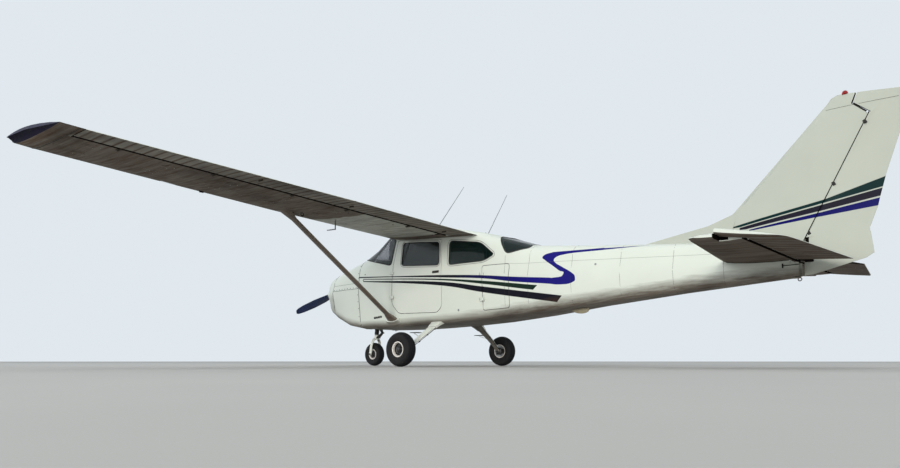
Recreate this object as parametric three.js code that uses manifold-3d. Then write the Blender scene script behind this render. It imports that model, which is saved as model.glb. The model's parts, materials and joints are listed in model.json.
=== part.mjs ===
// A four-seat high-wing light aircraft, parked on its tricycle gear.
// Millimetres, +X towards the nose, +Y towards the left wing tip, +Z up from the ground.
// Stations along the fuselage are in inches aft of the firewall, as on the real drawings.
import * as THREE from "three";
import { mergeVertices } from "three/addons/utils/BufferGeometryUtils.js";
import Module from "manifold-3d";

const wasm = await Module();
wasm.setup();

const INCH = 25.4;
const NOSE_FS = -44.8; // tip of the spinner
const TAIL_FS = 278.5; // top of the rudder's rear edge
const SEAT_GAP = 0.3; // between pieces that are fastened together
const MOVE_GAP = 7; // around doors and control surfaces

const WALL = 34; // cabin wall and door
const GLASS = 6;
const FLOOR = 92; // belly skin to cabin floor
const ROOF = 42;
const CABIN_END_FS = 118;
const BULKHEAD_FS = 113;
const TAIL_CONE_END_FS = 233.6;

const WING_ROOT_Y = 430;
const FLAP_START_Y = 605;
const WING_BREAK_Y = 2553;
const WING_TIP_Y = 5283;
const WING_END_Y = 5500;
const WING_ROOT_CHORD = 1626;
const WING_TIP_CHORD = 1118;
const WING_ROOT_FS = 24.5;
const WING_TIP_FS = 35;
const WING_HEIGHT = 1802; // chord line at half chord, at the cabin side
const DIHEDRAL = THREE.MathUtils.degToRad(2.2);
const WING_TWIST_ROOT = 6.3; // with the nose-up stand of the parked aircraft
const WING_TWIST_TIP = 4.2;
const WING_THICKNESS = 0.12;
const SPAR_FRACTION = 0.743; // where flap and aileron start

const TAIL_HEIGHT = 1120;
const TAIL_HALF_SPAN = 1725;
const ELEVATOR_HINGE_FS = 236;
const ELEVATOR_DROOP = THREE.MathUtils.degToRad(10.5);
const RUDDER_HINGE = { lowFs: 236.25, lowZ: 1120, highFs: 264.2, highZ: 2461 };

const MAIN_AXLE = { fs: 58.5, y: 1090, z: 222.25 };
const MAIN_TYRE = { radius: 222.25, width: 160, rim: 92 };
const NOSE_AXLE = { fs: -6.5, y: 0, z: 178 };
const NOSE_TYRE = { radius: 178, width: 127, rim: 74 };
const AXLE_RADIUS = 16;
const WHEEL_SIDES = 28;
const STEER_TOP = { fs: -3.1, z: 800 }; // a point high on the steering axis

const PROPELLER = { fs: -39.2, z: 1200, radius: 952, bladeAngle: -23.3 };
const STRUT = { low: [29.4, 500, 648], high: [37.6, 2600, 1915], chord: 102, thick: 40 };
const TIE_RING = { fs: 44.7, y: 2424, z: 1819 };
const TAIL_RING = { fs: 236.3, z: 888 };

const fsX = (fs) => INCH * ((TAIL_FS + NOSE_FS) / 2 - fs);
const lerp = THREE.MathUtils.lerp;

const PAINT = new THREE.MeshStandardMaterial({ color: "#e6e4dc", roughness: 0.35, metalness: 0.1 });
const NAVY = new THREE.MeshStandardMaterial({ color: "#23245c", roughness: 0.35, metalness: 0.1 });
const STEEL = new THREE.MeshStandardMaterial({ color: "#8c8f92", roughness: 0.4, metalness: 0.9 });
const DARK = new THREE.MeshStandardMaterial({ color: "#2b2c2e", roughness: 0.6, metalness: 0.4 });
const TYRE = new THREE.MeshStandardMaterial({ color: "#1b1b1c", roughness: 0.9, metalness: 0 });
const CLOTH = new THREE.MeshStandardMaterial({ color: "#4a4f5a", roughness: 0.95, metalness: 0 });
const RED = new THREE.MeshStandardMaterial({ color: "#b5221c", roughness: 0.3, metalness: 0 });
const GLAZING = new THREE.MeshStandardMaterial({
  color: "#3d6670", roughness: 0.08, metalness: 0, transparent: true, opacity: 0.5,
});

const aircraft = new THREE.Group();

// Solids

function solid(geometry) {
  geometry.deleteAttribute("normal");
  geometry.deleteAttribute("uv");
  const merged = mergeVertices(geometry, 1e-4);
  const position = merged.attributes.position.array;
  const index = merged.index.array;
  let volume = 0;
  const corner = [0, 1, 2].map(() => new THREE.Vector3());
  for (let i = 0; i < index.length; i += 3) {
    corner.forEach((p, k) => p.fromArray(position, 3 * index[i + k]));
    volume += corner[0].dot(corner[1].clone().cross(corner[2]));
  }
  const triVerts = new Uint32Array(index);
  if (volume < 0) {
    for (let i = 0; i < triVerts.length; i += 3) {
      [triVerts[i + 1], triVerts[i + 2]] = [triVerts[i + 2], triVerts[i + 1]];
    }
  }
  const vertProperties = new Float32Array(position);
  return new wasm.Manifold(new wasm.Mesh({ numProp: 3, vertProperties, triVerts }));
}

// The largest of the parts that a cut leaves.
function main(body) {
  return body.decompose().sort((a, b) => b.volume() - a.volume())[0];
}

function addPiece(name, body, material) {
  const mesh = main(body).getMesh();
  const geometry = new THREE.BufferGeometry();
  geometry.setAttribute("position", new THREE.BufferAttribute(mesh.vertProperties, 3));
  geometry.setIndex(new THREE.BufferAttribute(mesh.triVerts, 1));
  geometry.computeVertexNormals();
  const piece = new THREE.Mesh(geometry, material);
  piece.name = name;
  aircraft.add(piece);
}

// A closed skin over a row of rings with the same number of points.
function loft(rings) {
  const count = rings[0].length;
  const points = rings.flat();
  const index = [];
  for (let r = 0; r + 1 < rings.length; r += 1) {
    for (let i = 0; i < count; i += 1) {
      const j = (i + 1) % count;
      const [a, b, c, d] = [r * count + i, r * count + j, (r + 1) * count + j, (r + 1) * count + i];
      index.push(a, b, c, a, c, d);
    }
  }
  [0, rings.length - 1].forEach((r) => {
    const centre = new THREE.Vector3();
    rings[r].forEach((p) => centre.addScaledVector(p, 1 / count));
    points.push(centre);
    for (let i = 0; i < count; i += 1) {
      const edge = [r * count + i, r * count + ((i + 1) % count)];
      if (r === 0) edge.reverse();
      index.push(points.length - 1, ...edge);
    }
  });
  const geometry = new THREE.BufferGeometry().setFromPoints(points);
  geometry.setIndex(index);
  return solid(geometry);
}

function block(fsFront, fsRear, yLow, yHigh, zLow, zHigh) {
  const [x0, x1] = [fsX(fsRear), fsX(fsFront)];
  const geometry = new THREE.BoxGeometry(x1 - x0, yHigh - yLow, zHigh - zLow);
  geometry.translate((x0 + x1) / 2, (yLow + yHigh) / 2, (zLow + zHigh) / 2);
  return solid(geometry);
}

// An outline of [station, height] pairs, as seen from the side, pushed across the aircraft.
function sidePrism(outline, yLow, yHigh) {
  const shape = new THREE.Shape(outline.map(([fs, z]) => new THREE.Vector2(fsX(fs), z)));
  const geometry = new THREE.ExtrudeGeometry(shape, { depth: yHigh - yLow, bevelEnabled: false });
  geometry.rotateX(Math.PI / 2);
  geometry.translate(0, yHigh, 0);
  return solid(geometry);
}

// An outline of [station, y] pairs, as seen from above, pushed upwards.
function planPrism(outline, zLow, zHigh) {
  const shape = new THREE.Shape(outline.map(([fs, y]) => new THREE.Vector2(fsX(fs), y)));
  const geometry = new THREE.ExtrudeGeometry(shape, { depth: zHigh - zLow, bevelEnabled: false });
  geometry.translate(0, 0, zLow);
  return solid(geometry);
}

// A round bar or cone between two points.
function bar(from, to, radiusFrom, radiusTo = radiusFrom, sides = 12) {
  const [a, b] = [new THREE.Vector3(...from), new THREE.Vector3(...to)];
  const geometry = new THREE.CylinderGeometry(radiusTo, radiusFrom, a.distanceTo(b), sides);
  const turn = new THREE.Quaternion().setFromUnitVectors(
    new THREE.Vector3(0, 1, 0), b.clone().sub(a).normalize());
  geometry.applyQuaternion(turn);
  geometry.translate(...a.add(b).multiplyScalar(0.5).toArray());
  return solid(geometry);
}

// A profile of [radius, offset] pairs turned about a line through the centre along +Y.
function wheelLathe(profile, centre, sides = 32) {
  const points = profile.map(([r, y]) => new THREE.Vector2(r, y));
  const geometry = new THREE.LatheGeometry(points, sides);
  geometry.translate(...centre);
  return solid(geometry);
}

const bothSides = [["left", 1], ["right", -1]];

const LUG_WIDTH = 14;
const LUG_SIDES = 24;
const hinges = {};

// A hinge lug: a block hollowed round the nose of the surface that turns behind it.
// The block's four corners lie at one span position; along is the direction of the hinge line.
function hingeLug(corners, axisPoint, along, radius, gap = SEAT_GAP) {
  const step = along.clone().normalize().multiplyScalar(LUG_WIDTH / 2);
  const body = loft([-1, 1].map((k) => corners.map((p) => p.clone().addScaledVector(step, k))));
  const bore = (radius + gap) / Math.cos(Math.PI / LUG_SIDES);
  const ends = [-8, 8].map((k) => axisPoint.clone().addScaledVector(step, k).toArray());
  return body.subtract(bar(ends[0], ends[1], bore, bore, LUG_SIDES));
}

// Fuselage sections. Each half section is a flat bottom, an arc, a waist, an arc and a flat top.

const FUSELAGE = [
  // fs, low, high, halfLow, halfWaist, waist, halfTop, roundLow, roundTop
  [0, 555, 1600, 455, 505, 1120, 485, 120, 235],
  [14, 550, 1752, 480, 521, 1150, 496, 120, 215],
  [26, 550, 1908, 495, 530, 1180, 503, 120, 125],
  [32, 552, 1955, 498, 532, 1200, 502, 120, 95],
  [45, 560, 1972, 500, 533, 1200, 500, 120, 80],
  [66, 578, 1888, 500, 533, 1200, 500, 120, 80],
  [88.5, 606, 1760, 470, 505, 1180, 472, 120, 110],
  [100, 628, 1672, 445, 472, 1160, 432, 120, 145],
  [118, 662, 1528, 400, 420, 1120, 370, 130, 200],
  [150, 740, 1450, 308, 325, 1080, 268, 150, 165],
  [190, 822, 1368, 190, 202, 1070, 150, 125, 110],
  [236, 903, 1275, 60, 62, 1080, 42, 50, 35],
];

const COWL = [
  [-35.6, 862, 1368, 290, 345, 1120, 318, 150, 190],
  [-32.5, 800, 1408, 340, 392, 1120, 362, 155, 205],
  [-26, 726, 1444, 382, 430, 1120, 402, 150, 215],
  [-14, 612, 1520, 424, 472, 1120, 448, 135, 228],
  [-0.02, 555, 1600, 455, 505, 1120, 485, 120, 235],
];

const COLUMNS = ["fs", "low", "high", "halfLow", "halfWaist", "waist", "halfTop", "roundLow", "roundTop"];
const ARC_STEPS = 4;

function stationRow(table, fs) {
  const last = table.length - 2;
  const i = Math.min(last, Math.max(0, table.findIndex((row) => row[0] > fs) - 1));
  const k = fs >= table[last + 1][0] ? last : i;
  const share = THREE.MathUtils.clamp((fs - table[k][0]) / (table[k + 1][0] - table[k][0]), 0, 1);
  const row = {};
  COLUMNS.forEach((name, c) => { row[name] = lerp(table[k][c], table[k + 1][c], share); });
  row.fs = fs;
  return row;
}

// The ring of one station, moved inwards by wall at the sides, floor below and roof above.
function ring(row, wall = 0, floor = wall, roof = wall) {
  const half = [];
  const low = row.low + floor;
  const high = row.high - roof;
  const roundLow = Math.max(8, row.roundLow - wall);
  const roundTop = Math.max(8, row.roundTop - wall);
  const arc = (cy, cz, radius, from) => {
    for (let s = 0; s <= ARC_STEPS; s += 1) {
      const t = from + (Math.PI / 2) * (s / ARC_STEPS);
      half.push([cy + radius * Math.cos(t), cz + radius * Math.sin(t)]);
    }
  };
  half.push([0, low]);
  arc(row.halfLow - wall - roundLow, low + roundLow, roundLow, -Math.PI / 2);
  half.push([row.halfWaist - wall, row.waist]);
  arc(row.halfTop - wall - roundTop, high - roundTop, roundTop, 0);
  half.push([0, high + Math.min(12, 0.03 * row.halfTop)]);
  const mirrored = half.slice(1, -1).reverse().map(([y, z]) => [-y, z]);
  return [...half, ...mirrored].map(([y, z]) => new THREE.Vector3(fsX(row.fs), y, z));
}

function fuselageLoft(table, fsFrom, fsTo, wall = 0, floor = wall, roof = wall) {
  const inside = table.map((row) => row[0]).filter((fs) => fs > fsFrom && fs < fsTo);
  const stations = [fsFrom, ...inside, fsTo];
  return loft(stations.map((fs) => ring(stationRow(table, fs), wall, floor, roof)));
}

// Cabin openings, as seen from the left side: [station, height].

// The outline with its corners rounded. Each row is a corner and the length its curve takes
// from both edges, in millimetres.
function rounded(corners) {
  const STEPS = 4;
  const points = corners.map(([fs, z]) => new THREE.Vector2(fsX(fs), z));
  return points.flatMap((p, i) => {
    const reach = corners[i][2];
    const row = ({ x, y }) => [(TAIL_FS + NOSE_FS) / 2 - x / INCH, y];
    if (!reach) return [row(p)];
    const before = points[(i + points.length - 1) % points.length];
    const after = points[(i + 1) % points.length];
    const from = p.clone().add(before.clone().sub(p).setLength(reach));
    const to = p.clone().add(after.clone().sub(p).setLength(reach));
    const curve = new THREE.QuadraticBezierCurve(from, p, to);
    return curve.getPoints(STEPS).map(row);
  });
}

const WINDSCREEN_OUTLINE = rounded([
  [2.2, 1592, 0], [28.0, 1434, 60], [31.4, 1786, 0], [30.2, 1812, 0], [26.2, 1880, 0], [26.2, 2150, 0],
  [2.2, 2150, 0],
]);
const REAR_WINDOW_OUTLINE = rounded([
  [100.4, 1660, 50], [105.4, 1427, 55], [116.6, 1484, 20], [117.0, 1510, 0], [117.0, 2000, 0],
  [97.5, 2000, 0], [97.5, 1735, 0],
]);
const DOOR_OUTLINE = rounded([
  [28.2, 885, 60], [33.6, 736, 60], [62.6, 722, 50], [65.6, 800, 30], [66.2, 1000, 0], [65.8, 1718, 40],
  [33.0, 1786, 40], [29.7, 1440, 0],
]);
const DOOR_WINDOW_OUTLINE = rounded([
  [36.2, 1414, 55], [64.2, 1362, 55], [64.0, 1680, 55], [37.4, 1741, 55],
]);
const SIDE_WINDOW_OUTLINE = rounded([
  [70.6, 1351, 55], [92.6, 1358, 60], [98.6, 1432, 30], [90.8, 1608, 70], [70.8, 1678, 60],
]);
const BAGGAGE_DOOR_OUTLINE = rounded([
  [92.0, 715, 40], [107.6, 735, 40], [107.6, 1300, 40], [92.0, 1300, 40],
]);

// The outline with each edge moved inwards by a distance in millimetres.
function shrink(outline, distance) {
  const points = outline.map(([fs, z]) => new THREE.Vector2(fsX(fs), z));
  const turn = THREE.ShapeUtils.isClockWise(points) ? -1 : 1;
  return points.map((p, i) => {
    const before = points[(i + points.length - 1) % points.length];
    const after = points[(i + 1) % points.length];
    const inA = p.clone().sub(before).normalize();
    const inB = after.clone().sub(p).normalize();
    const normalA = new THREE.Vector2(-inA.y, inA.x).multiplyScalar(turn);
    const normalB = new THREE.Vector2(-inB.y, inB.x).multiplyScalar(turn);
    const middle = normalA.clone().add(normalB).normalize();
    const q = p.clone().addScaledVector(middle, distance / middle.dot(normalA));
    return [(TAIL_FS + NOSE_FS) / 2 - q.x / INCH, q.y];
  });
}

const cabinOuter = fuselageLoft(FUSELAGE, 0, CABIN_END_FS);
const cabinHollow = fuselageLoft(FUSELAGE, 3, BULKHEAD_FS, WALL, FLOOR, ROOF);
const cabinGlassInner = fuselageLoft(FUSELAGE, -4, CABIN_END_FS + 4, GLASS);
const cabinShell = cabinOuter.subtract(cabinHollow);
const cabinGlass = cabinOuter.subtract(cabinGlassInner);

const CROSS = 700; // wider than the cabin
const OPENINGS = [
  // outline, yLow, yHigh
  [WINDSCREEN_OUTLINE, -CROSS, CROSS],
  [REAR_WINDOW_OUTLINE, -CROSS, CROSS],
  [DOOR_OUTLINE, -CROSS, CROSS],
  [SIDE_WINDOW_OUTLINE, -CROSS, CROSS],
  [BAGGAGE_DOOR_OUTLINE, 100, CROSS],
];

// Half width of the skin at a height between the two arcs of a section.
function skinY(fs, z) {
  const row = stationRow(FUSELAGE, fs);
  const [lowZ, highZ] = [row.low + row.roundLow, row.high - row.roundTop];
  if (z < row.waist) return lerp(row.halfLow, row.halfWaist, (z - lowZ) / (row.waist - lowZ));
  return lerp(row.halfWaist, row.halfTop, (z - row.waist) / (highZ - row.waist));
}

const HINGE_PIN = { radius: 7, half: 20, stand: 11 };
const DOOR_HINGE = { fs: 28.55, heights: [975, 1325], reach: 32 };
const BAGGAGE_HINGE = { fs: 92.1, heights: [860, 1180], reach: 24 };

// Knuckles on the body and the leaves that wrap them, for a door hinged at its front edge.
function doorHinges({ fs, heights, reach }, s) {
  const y = s * (Math.max(...heights.map((z) => skinY(fs, z))) + HINGE_PIN.stand);
  const pinHole = (HINGE_PIN.radius + SEAT_GAP) / Math.cos(Math.PI / 12);
  const across = (z, stand) => (s > 0 ? [skinY(fs, z) + stand, y + 4] : [y - 4, -skinY(fs, z) - stand]);
  const pins = heights.map((z) => {
    const [zLow, zHigh] = [z - HINGE_PIN.half, z + HINGE_PIN.half];
    const foot = block(fs - 26 / INCH, fs, ...across(z, -6), zLow, zHigh);
    return bar([fsX(fs), y, zLow], [fsX(fs), y, zHigh], HINGE_PIN.radius, HINGE_PIN.radius, 12).add(foot);
  });
  const leaves = heights.map((z) => {
    const [zLow, zHigh] = [z - HINGE_PIN.half, z + HINGE_PIN.half];
    const hole = bar([fsX(fs), y, zLow - 5], [fsX(fs), y, zHigh + 5], pinHole, pinHole, 12);
    const plate = block(fs + 3 / INCH, fs + (reach + 12) / INCH, ...across(z, 1.5), zLow, zHigh);
    const foot = block(fs + reach / INCH, fs + (reach + 12) / INCH, ...across(z, -6), zLow, zHigh);
    return plate.add(foot).subtract(hole);
  });
  return { y, pins, leaves };
}

const hingeAxis = ({ fs, heights }, y) => heights.map((z) => new THREE.Vector3(fsX(fs), y, z));

function makeCabin() {
  let body = cabinShell;
  OPENINGS.forEach(([outline, yLow, yHigh]) => {
    body = body.subtract(sidePrism(outline, yLow, yHigh));
  });
  const doorSides = bothSides.map(([, s]) => doorHinges(DOOR_HINGE, s));
  const baggageHinges = doorHinges(BAGGAGE_HINGE, 1);
  [...doorSides, baggageHinges].forEach(({ pins }) => pins.forEach((pin) => { body = body.add(pin); }));
  addPiece("cabin_body", body, PAINT);

  const tight = (outline, yLow, yHigh) => sidePrism(shrink(outline, SEAT_GAP), yLow, yHigh);
  addPiece("windscreen", cabinGlass.intersect(tight(WINDSCREEN_OUTLINE, -CROSS, CROSS)), GLAZING);
  addPiece("rear_window", cabinGlass.intersect(tight(REAR_WINDOW_OUTLINE, -CROSS, CROSS)), GLAZING);
  bothSides.forEach(([side, s], i) => {
    const range = s > 0 ? [100, CROSS] : [-CROSS, -100];
    addPiece(`side_window_${side}`, cabinGlass.intersect(tight(SIDE_WINDOW_OUTLINE, ...range)), GLAZING);
    let door = cabinShell.intersect(sidePrism(shrink(DOOR_OUTLINE, MOVE_GAP), ...range));
    doorSides[i].leaves.forEach((leaf) => { door = door.add(leaf); });
    hinges[`door_${side}`] = hingeAxis(DOOR_HINGE, doorSides[i].y);
    addPiece(`door_${side}`, door.subtract(sidePrism(DOOR_WINDOW_OUTLINE, ...range)), PAINT);
    addPiece(`door_window_${side}`, cabinGlass.intersect(tight(DOOR_WINDOW_OUTLINE, ...range)), GLAZING);
  });
  const baggage = sidePrism(shrink(BAGGAGE_DOOR_OUTLINE, MOVE_GAP), 100, CROSS);
  let baggageDoor = cabinShell.intersect(baggage);
  baggageHinges.leaves.forEach((leaf) => { baggageDoor = baggageDoor.add(leaf); });
  hinges.baggage_door = hingeAxis(BAGGAGE_HINGE, baggageHinges.y);
  addPiece("baggage_door", baggageDoor, PAINT);
}

// Cowling, engine, propeller

const COWL_WALL = 12;
const COWL_SPLIT_Z = 1150;
const NOSE_CAP_FS = -27;
const INTAKE = { y: 225, z: 1200, halfWidth: 82, halfHeight: 56 };
const COWL_EXIT = { fs: -13, halfWidth: 150 };

function makeCowl() {
  const outer = fuselageLoft(COWL, COWL[0][0], -0.02);
  const inner = fuselageLoft(COWL, -34.4, 4, COWL_WALL);
  let shell = outer.subtract(inner);
  bothSides.forEach(([, s]) => {
    const y = s * INTAKE.y;
    shell = shell.subtract(block(-40, -30, y - INTAKE.halfWidth, y + INTAKE.halfWidth,
      INTAKE.z - INTAKE.halfHeight, INTAKE.z + INTAKE.halfHeight));
  });
  const shaftHole = bar([fsX(-40), 0, PROPELLER.z], [fsX(-32), 0, PROPELLER.z], 72, 72, 20);
  const scoop = block(-40, -31, -85, 85, 905, 985);
  const exit = block(COWL_EXIT.fs, 2, -COWL_EXIT.halfWidth, COWL_EXIT.halfWidth, 400, 720);
  shell = shell.subtract(shaftHole).subtract(scoop).subtract(exit);
  const half = SEAT_GAP / 2;
  const capEnd = NOSE_CAP_FS - half / INCH;
  const cowlStart = NOSE_CAP_FS + half / INCH;
  const part = (front, rear, low, high) => shell.intersect(block(front, rear, -CROSS, CROSS, low, high));
  addPiece("cowl_nose", part(-50, capEnd, 300, 2000), PAINT);
  addPiece("cowl_upper", part(cowlStart, 2, COWL_SPLIT_Z + half, 2000), PAINT);
  addPiece("cowl_lower", part(cowlStart, 2, 300, COWL_SPLIT_Z - half), PAINT);
}

const FIREWALL_FACE_FS = -SEAT_GAP / INCH;
const ENGINE = {
  // cylinders, then crankcase
  cylinders: { fsFront: -27.5, fsRear: -6, halfWidth: 352, low: 915, high: 1225 },
  crankcase: { fsFront: -31, fsRear: -5.5, halfWidth: 215, low: 800, high: 1335 },
};
const EXHAUST = { fs: -9.6, y: -105, top: 850, bottom: 560, outer: 24, inner: 20 };

function makeEngine() {
  const part = ({ fsFront, fsRear, halfWidth, low, high }) =>
    block(fsFront, fsRear, -halfWidth, halfWidth, low, high);
  let engine = part(ENGINE.cylinders).add(part(ENGINE.crankcase));
  const { fsFront, fsRear } = ENGINE.crankcase;
  engine = engine.add(bar([fsX(-34.6), 0, PROPELLER.z], [fsX(fsFront + 1), 0, PROPELLER.z], 60, 60, 20));
  [[1, 960], [1, 1280], [-1, 960], [-1, 1280]].forEach(([s, z]) => {
    engine = engine.add(bar([fsX(fsRear - 2), s * 190, z], [fsX(2), s * 290, z], 16, 16, 8));
  });
  engine = engine.subtract(block(FIREWALL_FACE_FS, 10, -CROSS, CROSS, 500, 1600));
  const { fs, y, top, bottom, outer, inner } = EXHAUST;
  const pipe = (radius, low, high) => bar([fsX(fs), y, low], [fsX(fs), y, high], radius, radius, 12);
  addPiece("engine_block", engine.subtract(pipe(outer + SEAT_GAP, bottom, top + SEAT_GAP)), DARK);
  addPiece("exhaust_pipe", pipe(outer, bottom, top).subtract(pipe(inner, bottom - 10, bottom + 160)), STEEL);
}

const BLADE = [
  // share of radius, chord, thickness, pitch in degrees
  [0.06, 70, 62, 52],
  [0.16, 104, 42, 44],
  [0.34, 144, 24, 33],
  [0.60, 146, 15, 23],
  [0.84, 122, 10, 17],
  [0.96, 92, 7, 15],
  [1.00, 52, 4, 15],
];

const BLADE_SECTION = [[-0.5, 0], [-0.32, 0.4], [0.05, 0.5], [0.5, 0.02], [0.05, -0.36], [-0.32, -0.3]];
const HUB = { radius: 78, front: 40, rear: -40, bossRadius: 56, sides: 24 };
const SPINNER = { radius: 142, rear: -68, steps: 6, sides: 24 };

function bladePair(rows, grow = 0) {
  const section = ([share, chord, thick, pitch], flip) => {
    const angle = THREE.MathUtils.degToRad(90 - pitch);
    return BLADE_SECTION.map(([c, t]) => {
      const along = c * (chord + grow);
      const across = t * (thick + grow);
      const x = along * Math.cos(angle) + across * Math.sin(angle);
      const side = -along * Math.sin(angle) + across * Math.cos(angle);
      return new THREE.Vector3(x, flip * PROPELLER.radius * share, flip * side);
    });
  };
  const [one, other] = [1, -1].map((flip) => loft(rows.map((row) => section(row, flip))));
  return one.add(other).rotate([PROPELLER.bladeAngle, 0, 0]);
}

function makePropeller() {
  const place = (body) => body.translate([fsX(PROPELLER.fs), 0, PROPELLER.z]);
  const bossEnd = fsX(-34.6) + SEAT_GAP - fsX(PROPELLER.fs);
  const hub = bar([HUB.rear, 0, 0], [HUB.front, 0, 0], HUB.radius, HUB.radius, HUB.sides);
  const boss = bar([bossEnd, 0, 0], [HUB.rear + 2, 0, 0], HUB.bossRadius, HUB.bossRadius, HUB.sides);
  addPiece("propeller", place(bladePair(BLADE).add(hub).add(boss)), NAVY);

  const length = fsX(NOSE_FS) - fsX(PROPELLER.fs);
  const profile = [new THREE.Vector2(0, SPINNER.rear), new THREE.Vector2(SPINNER.radius, SPINNER.rear)];
  for (let s = 0; s <= SPINNER.steps; s += 1) {
    const t = (Math.PI / 2) * (s / SPINNER.steps);
    const radius = s === SPINNER.steps ? 0 : SPINNER.radius * Math.cos(t) ** 0.85;
    profile.push(new THREE.Vector2(radius, HUB.rear + (length - HUB.rear) * Math.sin(t)));
  }
  const geometry = new THREE.LatheGeometry(profile, SPINNER.sides);
  geometry.rotateZ(-Math.PI / 2);
  const hubRoom = (HUB.radius + SEAT_GAP) / Math.cos(Math.PI / HUB.sides);
  const room = bar([-100, 0, 0], [HUB.front + SEAT_GAP, 0, 0], hubRoom, hubRoom, HUB.sides);
  addPiece("spinner", place(solid(geometry).subtract(room).subtract(bladePair(BLADE.slice(0, 3), 6))), PAINT);
}

// Wings

function airfoilHeight(x, thickness, camber) {
  const curve = 0.2969 * Math.sqrt(x) - 0.126 * x - 0.3516 * x ** 2 + 0.2843 * x ** 3 - 0.1015 * x ** 4;
  const half = 5 * thickness * curve;
  const peak = 0.4;
  const line = x < peak
    ? (camber / peak ** 2) * (2 * peak * x - x * x)
    : (camber / (1 - peak) ** 2) * (1 - 2 * peak + 2 * peak * x - x * x);
  return [line + half, line - half];
}

function wingStation(y) {
  const span = Math.abs(y);
  const out = THREE.MathUtils.clamp((span - WING_BREAK_Y) / (WING_TIP_Y - WING_BREAK_Y), 0, 1);
  const chord = lerp(WING_ROOT_CHORD, WING_TIP_CHORD, out);
  const twist = THREE.MathUtils.degToRad(lerp(WING_TWIST_ROOT, WING_TWIST_TIP, out));
  const middle = WING_HEIGHT + (span - 560) * Math.tan(DIHEDRAL);
  const fs = lerp(WING_ROOT_FS, WING_TIP_FS, out);
  const z = middle + (chord / 2) * Math.sin(twist);
  return { y, chord, twist, fs, z, thickness: WING_THICKNESS, camber: 0.02 };
}

// A point of a section, from fractions of the chord behind and above its front point.
function sectionPoint(station, along, up) {
  const [a, u] = [along * station.chord, up * station.chord];
  const [c, s] = [Math.cos(station.twist), Math.sin(station.twist)];
  return new THREE.Vector3(fsX(station.fs) - a * c - u * s, station.y, station.z - a * s + u * c);
}

const CHORD_STEPS = 10;

// Shares of the chord, closer together round the front edge.
const chordShare = (i, end) => end * (1 - Math.cos((Math.PI / 2) * (i / CHORD_STEPS))) ** 1.3;

function frontRing(station, end) {
  const upper = [];
  const lower = [];
  for (let i = 0; i <= CHORD_STEPS; i += 1) {
    const x = chordShare(i, end);
    const [top, bottom] = airfoilHeight(x, station.thickness, station.camber);
    upper.push(sectionPoint(station, x, top));
    if (i > 0) lower.push(sectionPoint(station, x, bottom));
  }
  return [...upper.reverse(), ...lower];
}

const NOSE_STEPS = 6;
const EDGE_THICKNESS = 4;

// The section of a hinged surface: a round nose about the hinge and straight sides to the rear edge.
function rearRing(station, start) {
  const nose = rearNose(station, start);
  const points = [];
  for (let i = 0; i <= NOSE_STEPS; i += 1) {
    const t = Math.PI / 2 + Math.PI * (i / NOSE_STEPS);
    const [along, up] = [nose.radius * Math.cos(t), nose.radius * Math.sin(t)];
    points.push(sectionPoint(station, nose.along + along, nose.up + up));
  }
  const edge = EDGE_THICKNESS / 2 / station.chord;
  points.push(sectionPoint(station, 1, -edge), sectionPoint(station, 1, edge));
  return points;
}

function rearNose(station, start) {
  const [top, bottom] = airfoilHeight(start + 0.03, station.thickness, station.camber);
  const radius = (top - bottom) / 2;
  return { along: start + radius, up: (top + bottom) / 2, radius };
}

const noseCentre = (station, start) => {
  const nose = rearNose(station, start);
  return sectionPoint(station, nose.along, nose.up);
};

const LUG_SLACK = 2; // extra room at mid span, where the twisted nose is not quite round
const FLAP_HINGE_DROP = 130; // the flap swings about a line below the wing, so it also moves aft

function makeWing(side, s) {
  const span = [WING_ROOT_Y, WING_BREAK_Y, WING_TIP_Y].map((y) => wingStation(s * y));
  let wing = loft(span.map((station) => frontRing(station, SPAR_FRACTION)));
  const stub = [WING_ROOT_Y, FLAP_START_Y - MOVE_GAP].map((y) => frontRing(wingStation(s * y), 1));
  wing = wing.add(loft(stub));
  const tipRibs = [WING_TIP_Y - 34, WING_TIP_Y].map((y) => frontRing(wingStation(s * y), 1));
  wing = wing.add(loft(tipRibs));
  wing = wing.subtract(cabinOuter.translate([0, s * SEAT_GAP, SEAT_GAP])).subtract(cabinOuter);

  const start = SPAR_FRACTION + MOVE_GAP / WING_ROOT_CHORD;
  const surfaces = [
    // name, inner y, outer y
    [`flap_${side}`, FLAP_START_Y, WING_BREAK_Y - MOVE_GAP / 2],
    [`aileron_${side}`, WING_BREAK_Y + MOVE_GAP, WING_TIP_Y - 34 - MOVE_GAP],
  ];
  surfaces.forEach(([name, inner, outer]) => {
    const stations = [inner, outer].map((y) => wingStation(s * y));
    addPiece(name, loft(stations.map((station) => rearRing(station, start))), PAINT);
    const [from, to] = stations.map((station) => noseCentre(station, start));
    const drop = name.startsWith("flap") ? FLAP_HINGE_DROP : 0;
    hinges[name] = [from, to].map((p) => p.clone().add(new THREE.Vector3(0, 0, -drop)));
    [0.03, 0.5, 0.97].forEach((share) => {
      const station = wingStation(s * lerp(inner, outer, share));
      const nose = rearNose(station, start);
      const corners = [[SPAR_FRACTION - 0.006, 0.55], [SPAR_FRACTION - 0.006, -0.55],
        [nose.along - 0.45 * nose.radius, -0.55], [nose.along - 0.45 * nose.radius, 0.55]]
        .map(([along, up]) => sectionPoint(station, along, nose.up + up * nose.radius));
      const centre = noseCentre(station, start);
      const gap = SEAT_GAP + LUG_SLACK * 4 * share * (1 - share);
      wing = wing.add(hingeLug(corners, centre, to.clone().sub(from), nose.radius * station.chord, gap));
    });
  });

  const ringEye = new THREE.TorusGeometry(20, 5, 8, 16);
  ringEye.rotateY(Math.PI / 2);
  ringEye.translate(fsX(TIE_RING.fs), s * TIE_RING.y, TIE_RING.z);
  addPiece(`wing_${side}`, wing.add(solid(ringEye)), PAINT);
  addPiece(`wing_tip_${side}`, wingTip(s), PAINT);
  return wing;
}

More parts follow.
